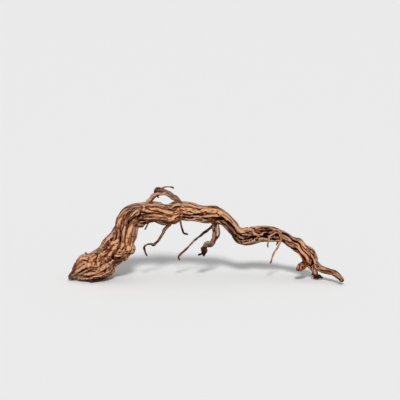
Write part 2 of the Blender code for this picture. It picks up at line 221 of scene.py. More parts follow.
# The rootlets and marks below are placed as seen from the front, in steps across and down. A step is
# VIEW_STEP mm, x = 0 is at VIEW_MIDDLE, and the floor VIEW_DEPTH mm in front of y = 0 is at VIEW_BOTTOM.
VIEW_STEP = 1.625
VIEW_TILT = math.radians(13)
VIEW_MIDDLE = 205.5
VIEW_BOTTOM = 281.5
VIEW_DEPTH = 8.27

# Rootlets: warmth and lightness, then points: steps across and down, y and radius in mm
ROOTLETS = [
    # the arch on top: its upper strand, its lower strand, the twig on its knob and the barb
    (-0.7, -0.2, [(154.6, 193.0, 8.4, 1.8), (155.2, 191.1, 8.2, 2.6), (157.4, 189.3, 8, 3.0),
                  (160.5, 189.7, 8, 2.95), (164, 190.7, 8.5, 2.7), (167.5, 192.1, 9, 2.7),
                  (171, 194.2, 9.5, 2.75), (174.5, 196.9, 10, 2.6), (177.8, 199.9, 11, 2.6),
                  (180.6, 202.8, 12, 2.5), (182, 207.1, 14, 2.5)]),
    (-0.1, 0.8, [(147.1, 205.7, 12, 3.3), (147.7, 202, 10, 3.0), (149.3, 198.8, 8.5, 2.9),
                 (151.7, 196.6, 8, 2.9), (154.6, 194.6, 7, 2.9), (157.8, 193.2, 6.5, 2.6),
                 (161.3, 193, 6.5, 2.4), (164.8, 193.7, 7, 2.4), (168.3, 195.2, 7.5, 2.3),
                 (171.8, 197, 8, 2.3), (174.8, 199.3, 9, 2.5), (177.3, 202.2, 10.5, 2.7),
                 (178.8, 206.3, 13, 2.95)]),
    (-0.6, 0.0, [(149.4, 205.6, 12, 2.0), (150.4, 202, 10.5, 1.5), (152.2, 199.4, 9.4, 1.3),
                 (155, 196.6, 8.4, 1.3), (158.6, 194.6, 7.8, 1.3)]),
    (-1.0, 0.2, [(160.8, 189.2, 8, 1.6), (163, 187.5, 7.5, 1.35), (165.6, 186.6, 7, 1.35),
                 (169, 186.3, 6.5, 1.35), (171.3, 186.7, 6, 1.5), (172.8, 187.4, 5.5, 1.5),
                 (173.4, 188.9, 5, 1.0)]),
    (-0.6, -1.0, [(156.4, 193.9, 6, 1.5), (157.2, 196.0, 5.5, 1.4), (158.8, 197.4, 5, 0.9)]),
    # the thin root draped over the front
    (-0.5, -1.0, [(179.6, 203, 20, 1.5), (180, 202.2, 12, 1.4), (180.6, 204.4, 6.6, 1.2),
                  (181.2, 208.4, 4.6, 1.15), (181.4, 212.6, 4.0, 1.15), (180.9, 216.6, 3.6, 1.1),
                  (180.5, 220, 3.8, 1.05), (180.6, 223.2, 4.6, 1.1), (181.3, 226.6, 5.4, 1.2),
                  (182.4, 229.8, 6, 1.3), (183.2, 232.4, 6, 1.5), (184.2, 233.5, 6.2, 1.6),
                  (186, 233.8, 6.6, 1.4), (187.8, 234.5, 7, 0.9)]),
    # the snag under the bend
    (-0.6, -1.0, [(149, 221, 14, 1.4), (147.6, 223.8, 13, 0.9), (146.4, 226.2, 12, 0.7),
                  (145.4, 228.2, 11.5, 0.7), (144.4, 229.8, 11, 0.6)]),
    # the bent rootlet
    (-0.9, 0.0, [(171.2, 218.6, 17, 3.2), (169.2, 223, 15, 3.0), (167.8, 225.6, 14.4, 2.85),
                 (165.9, 227.6, 13.6, 2.65), (164.1, 229.6, 13, 2.6), (162.9, 231.8, 12.4, 2.6),
                 (161.7, 234.2, 11.6, 2.5), (160.4, 236.8, 10.8, 2.4), (158.7, 239.4, 9.8, 2.3),
                 (156.7, 241.8, 8.6, 2.1), (155, 243.7, 7.6, 2.0), (153.5, 245.2, 6.8, 2.1),
                 (152.2, 245.1, 6, 1.9), (150.5, 244.2, 5.4, 1.7), (148, 244.4, 4.4, 1.5),
                 (145.5, 245.2, 3.2, 1.5), (144.2, 246.6, 2.6, 1.7), (143.8, 248.3, 2.2, 1.7),
                 (144.2, 250.6, 2.2, 1.3), (145.2, 253.4, 2.6, 1.4), (146.6, 256.2, 3.4, 1)]),
    # the loop close under the trunk
    (-0.5, -0.6, [(169.4, 221.6, 15, 1.3), (171, 223.0, 13, 1.0), (173, 223.6, 12, 0.95),
                  (175.2, 223.3, 11.6, 0.95), (177, 222.3, 12, 0.95), (179, 221.0, 13.4, 1.0),
                  (180.8, 218.8, 15.4, 1.2)]),
    # the long straight rootlet
    (-0.6, -0.3, [(216.4, 221.6, 18, 2.0), (211, 227.2, 16, 1.8), (208.6, 229.3, 15.6, 1.8),
                  (206, 231.4, 15.2, 1.8), (203, 233.6, 15, 1.75), (198.6, 237.1, 14.4, 1.6),
                  (195, 240.2, 14, 1.5), (192.3, 242.7, 13.6, 1.45), (189.6, 245.2, 13.2, 1.45),
                  (186.7, 248.4, 12.8, 1.5), (184.4, 250.8, 12.4, 1.6), (182.1, 252.8, 12, 1.7),
                  (180, 254.8, 11.6, 1.7), (178.4, 257, 11.2, 1.5), (178.4, 258.8, 11, 1.1),
                  (179.8, 260.4, 11, 0.8)]),
    # the thick rootlet that hangs and crooks: two strands, the crook, the gnarled end and its two tips
    (-1.0, 0.6, [(211.4, 215.6, 19, 3.4), (212, 220.6, 17.4, 3.3), (213.4, 225.6, 15.4, 3.1),
                 (214, 230.6, 13.4, 2.9), (214, 235.2, 11.6, 3.0), (213.9, 238.2, 10.2, 3.3),
                 (213.5, 241.2, 9, 3.7), (212, 243.8, 7.8, 4.0), (209.8, 244.5, 7, 3.7),
                 (207.8, 243.9, 6.4, 3.6), (206, 244.6, 6, 3.6), (205, 247, 5.8, 3.3)]),
    (-0.9, 0.2, [(215.4, 215.6, 20, 3.2), (215.4, 220.6, 17.6, 3.1), (216, 225.6, 15.4, 2.6),
                 (216, 230.6, 13.2, 2.3), (215.7, 235.6, 11.4, 2.5), (215.1, 239.6, 10, 2.7),
                 (213.4, 243.2, 8.6, 2.8), (210.8, 245.4, 7.8, 2.7), (207.8, 245.4, 7.4, 2.5)]),
    (-0.4, -1.0, [(206.2, 244.2, 6, 2.8), (205.2, 246.6, 5.8, 3.4), (204.3, 249, 5.8, 3.9),
                  (204.1, 251, 6, 3.8), (204, 253, 6.2, 2.9), (203.6, 254.6, 6.4, 2.0),
                  (203.2, 256.4, 6.6, 1.2)]),
    (-0.4, -1.0, [(204.4, 247, 6, 2.2), (202, 248.6, 5.6, 2.2), (200.8, 249.5, 5.4, 1.5)]),
    (-0.4, -1.0, [(203, 253, 5.6, 1.8), (201.2, 254, 5.2, 1.4), (199.8, 254.6, 5, 1.2),
                  (198, 255.4, 4.8, 1.1)]),
    # the thin root beside it
    (-0.8, -0.3, [(215, 219, 13, 1.6), (217.6, 222.6, 10.6, 1.1), (218.6, 226, 9.6, 0.9),
                  (219.1, 229.6, 8.8, 0.85), (219.4, 233.4, 8.4, 0.95), (218.8, 236, 8.4, 1.2),
                  (217.3, 237.9, 8.6, 1.6), (215.6, 240, 8.8, 1.5)]),
    # the thin root along the slope
    (-1.0, 0.0, [(213.6, 219.2, 12, 1.8), (217, 220.2, 9.4, 1.5), (220, 222, 9, 1.6),
                 (224.6, 225.6, 8.8, 1.7), (229, 230, 9, 1.7), (235.6, 237.4, 11, 1.6)]),
    # the hook, the short tip and the long hanging root by the forks
    (-0.4, 0.1, [(278.8, 232, 10, 1.95), (276.4, 231.9, 6, 1.75), (273.2, 233.8, 4, 1.65),
                 (270.8, 235.6, 3.8, 1.65), (269.5, 237.8, 3.8, 1.45), (269.3, 240, 4.2, 1.3),
                 (268.6, 242.1, 4.6, 1.0), (267.9, 243.8, 4.8, 0.85), (267.8, 245.8, 4.9, 0.85),
                 (268.2, 247.6, 5, 0.8)]),
    (-0.5, -0.8, [(279.6, 238.6, 10, 1.75), (278.6, 241.6, 9.6, 1.55), (278.1, 243.4, 9.4, 1.45),
                  (276.8, 245.3, 9, 1.05)]),
    (-0.6, 0.5, [(270.8, 229.4, 13, 2.15), (274.4, 229, 7.6, 1.85), (277.8, 229.9, 4.6, 1.85),
                 (280.2, 232, 3, 1.75), (281.3, 235, 2, 1.6), (281.3, 239, 1.6, 1.45),
                 (280.2, 242.8, 1, 1.25), (278.5, 246.4, 0, 1.1), (276.6, 249.5, -0.3, 1.05),
                 (274.5, 252.6, -0.8, 1.05), (272.8, 257, -2, 1.0), (271.6, 261.4, -3, 0.95),
                 (270.6, 263.6, -3, 1.0)]),
    # the small spur on top of the butt
    (-0.4, -0.8, [(86.6, 257.4, -6, 1.8), (86, 254.8, -6, 1.4), (85.4, 253.2, -6, 1.0),
                  (84.9, 252, -6, 0.7)]),
    # the nub on the stub and the toes of the foot
    (-0.6, -0.2, [(303.6, 264, -8, 2.6), (304.8, 266.6, -10.4, 2.2), (304.9, 268, -11.6, 1.6)]),
    (-0.5, -1.0, [(315.6, 273.8, 3, 2.6), (313.4, 274.6, -1, 1.9), (312.5, 275, -2.6, 1.3)]),
    (-0.7, -0.4, [(315.2, 270.2, 4, 2.6), (313.6, 271.2, 0, 1.5), (312.7, 272, -2, 1.0)]),
    (-0.4, -1.0, [(315.4, 276.8, 1, 2.6), (317.6, 276.6, -1, 3.0), (320.4, 276.8, -1.6, 2.6),
                  (322.2, 277.7, -2, 1.6), (323.8, 278.4, -2.6, 1.4)]),
]

# Clefts: half width and depth in mm, then the points that each runs through
CLEFTS = [
    # slits of the butt
    (1.1, 2.4, [(77.5, 268.3), (80, 266.5), (82, 265), (84.5, 263.5)]),
    (1.2, 2.8, [(77, 273.6), (79.5, 272), (82, 270.3), (84.5, 269), (87.2, 268)]),
    (1.4, 3.4, [(86, 271.4), (89, 270.8), (91, 270.4), (93, 271.4), (95.6, 271.8)]),
    (1.0, 1.8, [(83.3, 260.5), (86, 260.3), (88, 261.3)]),
    (0.9, 1.4, [(91.6, 262.8), (92, 264.4)]),
    (1.1, 2.8, [(98, 251.8), (97.4, 254), (96.6, 257), (95.4, 259.6)]),
    (0.9, 2.2, [(92.4, 259.3), (95.4, 259.8)]),
    (0.8, 1.0, [(96.8, 261), (95, 263), (93.4, 266.5)]),
    (0.8, 1.0, [(102, 256), (101.5, 262), (100.4, 268)]),
    (0.9, 1.3, [(105, 274), (108, 275.5)]),
    (1.0, 1.8, [(85, 277.3), (88.6, 277.4)]),
    (1.2, 2.2, [(92, 278), (96, 278), (100, 278.6)]),
    # the knobby part between butt and neck
    (0.9, 1.8, [(99, 251.6), (101, 249.4), (102.8, 247), (104.6, 244.6), (106.6, 242.2), (108.6, 240.6)]),
    (0.9, 1.5, [(109.4, 238.2), (111, 239.4), (113.6, 238.6)]),
    (0.9, 1.8, [(106.4, 248.2), (107, 249.6), (109, 250), (112, 250.4), (113.8, 251.3)]),
    (0.8, 1.6, [(110, 248.3), (111.8, 247.4)]),
    (0.9, 1.8, [(111.8, 245.2), (115.2, 245.5)]),
    (0.9, 1.8, [(102.8, 253.8), (104.6, 252.4), (107, 251.2)]),
    (1.5, 4.2, [(111.8, 255.8), (113.2, 258), (114.8, 260.3)]),
    (1.5, 4.0, [(114.4, 257.6), (118, 258.2), (121, 258.4), (123, 257), (124.6, 254.6), (126, 253.2)]),
    (1.0, 2.4, [(119.4, 247.5), (121, 249.4), (123, 248.1), (124.6, 246.9)]),
    (1.0, 3.0, [(116.5, 231.3), (116.4, 234.5), (116.2, 237), (115.3, 239.2)]),
    (0.9, 2.4, [(120.6, 230.4), (121.8, 232.4)]),
    (0.9, 2.4, [(119.9, 236.3), (119.9, 239.5), (119.2, 242.6)]),
    # the neck
    (1.0, 3.4, [(129, 219.6), (128.4, 221.5), (128.4, 224)]),
    (0.8, 2.2, [(128.4, 224), (128.2, 226), (126.9, 230), (126, 234), (125.2, 237), (124.6, 243),
                (124.6, 247.4)]),
    (0.8, 2.0, [(133.4, 226), (132.4, 231.5), (131.2, 237), (131.2, 240), (130.4, 245.4)]),
    (0.8, 1.7, [(123.8, 215.4), (122.9, 218.5), (121.6, 222.4)]),
    (0.7, 1.3, [(121.6, 222.4), (120, 228.4)]),
    (0.9, 2.2, [(129.6, 213.2), (128, 216.4), (126.2, 219.8)]),
    (0.7, 1.4, [(123.7, 225.6), (122.9, 228)]),
    # the bend
    (0.8, 1.7, [(134.4, 207.8), (131.7, 209.6), (130, 212.6)]),
    (0.8, 2.0, [(135.6, 209.3), (133.3, 211.5), (131.2, 213.9)]),
    (0.9, 2.8, [(136, 213), (134, 215.2), (132.3, 217.6)]),
    (0.7, 1.4, [(138.9, 211.4), (137, 213.2)]),
    (1.2, 2.4, [(141, 211.6), (140.2, 213.4), (138.4, 216.6), (136.4, 219.4)]),
    (0.9, 2.0, [(132.6, 223.4), (134.4, 223.2), (136, 222)]),
    # the level stretch, left half
    (0.8, 1.2, [(150.5, 203.4), (153, 203.2)]),
    (0.9, 1.6, [(154.8, 206.4), (158, 207), (162, 208)]),
    (1.0, 3.0, [(161, 207.9), (164, 208.5), (167, 209.3), (170, 209.6), (173, 210.5), (175.4, 209.8)]),
    (0.8, 0.6, [(172.4, 208.6), (175, 207.4), (178, 206.4), (182, 206.1)]),
    (0.9, 2.2, [(145.8, 208.1), (148, 208.6), (150.4, 209.6)]),
    (0.8, 1.4, [(147.4, 205.6), (150.6, 207.3)]),
    (0.8, 1.6, [(151.2, 210.5), (154.2, 210.6)]),
    (0.9, 2.0, [(140.2, 211.6), (143, 212.8), (146, 213.2), (148, 213.8), (152, 213.7), (155, 213.6),
                (158, 213.4)]),
    (0.8, 1.2, [(158, 213.4), (160, 214.2), (163, 214.7)]),
    (0.7, 0.9, [(158, 211), (161, 211.7), (163.2, 212.8)]),
    (0.8, 1.9, [(165, 214.9), (166.6, 215.6), (168.6, 215.9)]),
    (0.8, 1.5, [(160.4, 217.6), (164, 217.2), (166.5, 218), (168.2, 218.9)]),
    (0.9, 1.6, [(148.4, 217.7), (151, 217.2), (153.4, 217.7)]),
    (1.0, 2.4, [(141, 220.4), (146, 220), (152, 219.4), (156.5, 220.2), (160, 219.6), (163, 220.7),
                (165, 221.6), (166.6, 222.8), (170, 222.6), (172.4, 221.2)]),
    (1.8, 3.0, [(141, 223.2), (145, 222.8), (149, 221.6), (154, 221.3)]),
    (1.1, 2.6, [(161.6, 202.8), (164.4, 204.2), (167, 205.4), (170, 205.8), (172.4, 204.6)]),
    (1.4, 3.4, [(174.4, 219), (177, 217.6), (180, 216.2)]),
    # the level stretch, right half
    (0.7, 1.2, [(183, 203), (188, 203.2), (192, 203.9), (196, 205.2), (200.4, 207.2)]),
    (0.7, 1.2, [(181, 206.6), (184, 207.4), (188, 207), (192, 207.8), (195, 209)]),
    (0.7, 0.9, [(184.4, 209.4), (187, 209.3)]),
    (1.0, 2.8, [(193, 209.5), (196, 209.2), (200.6, 209.3)]),
    (0.8, 1.4, [(186.4, 211.6), (191.2, 211.3)]),
    (1.4, 3.8, [(182.4, 214.6), (187, 214.5), (190, 215.1), (194, 214.6), (198, 214.2)]),
    (1.2, 3.2, [(197, 214.6), (200, 213.6), (203, 213.4)]),
    (1.0, 2.6, [(199, 215.4), (202, 215.2), (205, 214.4), (207, 214.6)]),
    (1.4, 3.6, [(182.2, 216.4), (184.6, 217), (187.4, 217.5), (190, 217.7), (193.4, 217.9)]),
    (0.8, 2.2, [(195, 219.4), (199, 220.3), (203, 219.9)]),
    (1.0, 3.0, [(204, 218.6), (208, 218.2), (211, 217.4)]),
    (1.9, 3.6, [(210.6, 217.6), (214, 217.6), (219, 218), (224, 219.4)]),
    (1.1, 2.0, [(223, 219), (228, 221.8), (231, 224.3), (233.4, 227)]),
    (0.7, 0.3, [(209.3, 213.5), (213, 213.2), (217, 213.8), (219, 214.9)]),
    # the slope
    (0.7, 1.5, [(214.6, 205.9), (218, 207.2), (221.7, 209.2), (225.4, 212), (228.9, 215), (232.4, 218.8),
                (236, 223), (239.4, 227.2)]),
    (0.6, 1.0, [(221, 213.6), (226, 216), (230, 219.6), (234, 224.6)]),
    (1.0, 1.4, [(233, 226), (235, 229.6), (236.6, 232.4), (239, 234.4)]),
    (1.3, 3.4, [(219.6, 220.6), (223, 223.4), (226, 226.4), (229, 230), (231, 233.4)]),
    (1.2, 3.4, [(231, 231.6), (233, 234.4), (235.6, 237.4)]),
    (1.0, 2.4, [(231, 235.6), (234, 238.6), (237, 241.4), (240, 242.8)]),
    # the valley and the twisted stretch
    (0.9, 2.4, [(238, 233.4), (241, 234.6), (244, 233.7), (247, 233), (250, 234.2), (253.4, 234.3)]),
    (0.8, 1.4, [(245.6, 232.2), (249, 231.3), (251.4, 231)]),
    (1.3, 4.0, [(244, 239), (248, 238.1), (252, 237.3), (257.2, 237.4)]),
    (1.0, 2.2, [(238.6, 239.4), (242.4, 239.4)]),
    (0.8, 1.8, [(245, 241.6), (247.6, 241.4)]),
    (0.9, 2.6, [(251, 240.6), (253.6, 238.9), (254.4, 238.6)]),
    (0.7, 1.8, [(255.4, 239.4), (258, 239.3)]),
    (1.5, 4.4, [(259.4, 230.4), (263, 230.4), (266, 230.4), (269, 231.2), (272, 230)]),
    (0.9, 2.4, [(257, 229.7), (259, 229.8)]),
    (0.8, 2.0, [(258.6, 233.2), (260.4, 233.4)]),
    (1.2, 3.6, [(263.8, 236.6), (266, 236.9), (268.2, 236.9)]),
    (1.0, 3.0, [(267, 234.7), (270.4, 234.2)]),
    (0.9, 3.0, [(259.8, 236.7), (262.4, 236.2)]),
    (0.8, 1.6, [(270.8, 237), (272.4, 236.4), (275, 235.8)]),
    (1.2, 3.6, [(272.4, 238.2), (274, 239.6), (276.4, 240.4)]),
    (1.4, 4.0, [(274, 232), (276, 233.8), (278, 235.8)]),
    # where it forks
    (1.2, 4.2, [(279.6, 231.3), (283, 233.4), (287, 234.6), (290, 237), (293, 239.8), (295.4, 241.5),
                (298.6, 241.7)]),
    (0.9, 2.8, [(298.6, 241.7), (299.8, 243.4), (301.2, 246), (303.4, 250.6), (306.8, 253.4),
                (309.6, 256), (312.4, 258.8), (313.8, 261)]),
    (1.3, 3.6, [(281.6, 240), (285, 242.7), (289, 247.2), (292.2, 249.2), (295.6, 249.4),
                (297.4, 248.8)]),
    (1.2, 3.0, [(298.2, 251.4), (300.4, 254), (303, 257.3), (305.2, 259.6)]),
    (0.9, 2.2, [(308.6, 250.8), (312.2, 253.3), (314.4, 255.4), (315.2, 257.6)]),
    (1.3, 4.0, [(312.4, 260), (313.3, 263.2), (311.6, 266.4)]),
    (0.8, 1.8, [(315.8, 264), (317.4, 268)]),
    (0.7, 1.6, [(314, 265.8), (314.3, 270)]),
    (1.3, 2.4, [(307.6, 263.2), (310.6, 266.8), (312.6, 269)]),
    (0.9, 1.3, [(320, 270.4), (326, 271), (331, 271.2)]),
    (0.9, 1.2, [(331, 273.4), (335, 276), (340, 280)]),
    (0.8, 1.6, [(300.4, 264), (299.6, 266.6), (299.2, 269.4)]),
]

# Pits and knot holes: across, down, half width, half height, in steps, and depth in mm
PITS = [
    (81.6, 265.2, 1.2, 0.7, 2.6),
    (86.7, 268.2, 1.2, 0.7, 3.0),
    (94.4, 271.7, 1.3, 0.8, 3.2),
    (86.6, 277.4, 1.8, 0.7, 2.0),
    (93.6, 278.3, 0.9, 1.2, 3.0),
    (97.6, 278.0, 1.8, 0.9, 2.2),
    (104.5, 275.4, 1.2, 0.9, 2.6),
    (109.0, 275.4, 0.9, 0.9, 2.2),
    (92.0, 263.6, 0.8, 0.9, 1.6),
    (105.2, 261.2, 0.9, 0.9, 2.2),
    (108.2, 258.6, 1.2, 0.9, 2.6),
    (109.4, 256.8, 0.8, 1.0, 2.2),
    (110.4, 260.4, 0.7, 0.8, 1.8),
    (108.3, 263.5, 0.9, 0.7, 1.5),
    (106.4, 264.8, 0.9, 0.6, 1.3),
    (112.6, 262.2, 1.0, 0.7, 1.8),
    (108.2, 242.6, 0.8, 1.0, 1.8),
    (103.2, 247.4, 0.8, 0.8, 2.4),
    (107.2, 249.2, 0.8, 0.7, 2.0),
    (110.6, 245.4, 0.7, 0.7, 1.6),
    (115.5, 238.4, 1.1, 0.9, 3.0),
    (117.5, 243.3, 0.8, 0.8, 2.8),
    (119.0, 252.0, 1.5, 0.8, 2.8),
    (117.6, 254.4, 0.9, 0.5, 1.4),
    (113.0, 257.4, 1.4, 1.4, 4.0),
    (119.0, 258.2, 3.4, 1.1, 3.8),
    (127.0, 251.7, 1.1, 0.8, 2.8),
    (133.4, 249.6, 0.8, 1.3, 2.4),
    (129.4, 255.4, 0.8, 0.7, 2.6),
    (127.2, 257.3, 0.8, 0.7, 2.6),
    (132.5, 236.3, 0.7, 0.8, 2.8),
    (132.3, 241.4, 0.6, 0.9, 1.8),
    (121.4, 222.9, 0.7, 0.9, 2.2),
    (123.6, 219.4, 0.8, 0.6, 1.8),
    (128.4, 222.4, 0.7, 1.7, 3.4),
    (134.0, 215.2, 1.2, 0.8, 2.8),
    (140.4, 213.0, 0.8, 1.0, 3.2),
    (142.3, 216.5, 1.0, 0.8, 3.0),
    (145.4, 217.8, 0.7, 0.6, 1.4),
    (143.4, 223.0, 3.2, 1.1, 3.0),
    (146.4, 208.3, 0.9, 0.5, 2.0),
    (157.0, 213.5, 1.6, 0.5, 2.8),
    (163.7, 208.4, 1.3, 0.6, 3.0),
    (173.0, 210.4, 1.2, 0.9, 3.4),
    (166.6, 215.5, 1.1, 0.5, 2.4),
    (156.4, 220.3, 0.9, 0.6, 2.8),
    (167.0, 222.9, 1.6, 0.7, 3.0),
    (178.0, 217.3, 2.2, 1.1, 3.8),
    (202.4, 213.7, 1.4, 0.7, 3.2),
    (189.4, 218.2, 2.2, 0.6, 2.8),
    (197.6, 209.3, 2.6, 0.6, 2.8),
    (185.4, 209.4, 0.8, 0.4, 1.6),
    (188.6, 211.5, 1.2, 0.5, 2.0),
    (212.2, 207.2, 1.6, 0.5, 2.2),
    (209.5, 213.5, 0.8, 0.6, 0.9),
    (205.4, 211.8, 1.2, 0.6, 1.0),
    (219.0, 218.2, 3.4, 1.1, 3.2),
    (231.6, 232.4, 0.9, 0.9, 3.4),
    (233.6, 236.6, 0.9, 0.9, 3.4),
    (235.8, 236.4, 0.8, 1.0, 3.6),
    (254.4, 228.5, 0.8, 0.7, 2.4),
    (253.8, 239.2, 0.9, 0.7, 3.2),
    (246.4, 241.5, 0.9, 0.5, 2.4),
    (265.4, 230.3, 4.6, 0.9, 4.4),
    (270.6, 229.7, 0.9, 0.8, 3.6),
    (265.6, 236.4, 2.2, 0.9, 4.0),
    (265.6, 234.2, 1.8, 1.2, 3.0),
    (277.2, 234.8, 1.6, 1.6, 4.0),
    (275.0, 239.8, 1.5, 0.7, 3.4),
    (296.6, 248.8, 0.8, 0.8, 3.4),
    (301.6, 261.8, 1.7, 0.9, 3.0),
    (299.0, 264.4, 0.9, 0.8, 1.8),
    (298.6, 270.4, 1.6, 0.7, 2.2),
    (302.6, 267.4, 0.8, 1.3, 1.6),
    (310.6, 257.6, 0.8, 0.8, 3.2),
    (312.6, 262.8, 0.9, 2.4, 3.8),
    (332.4, 272.8, 0.8, 0.6, 1.8),
]

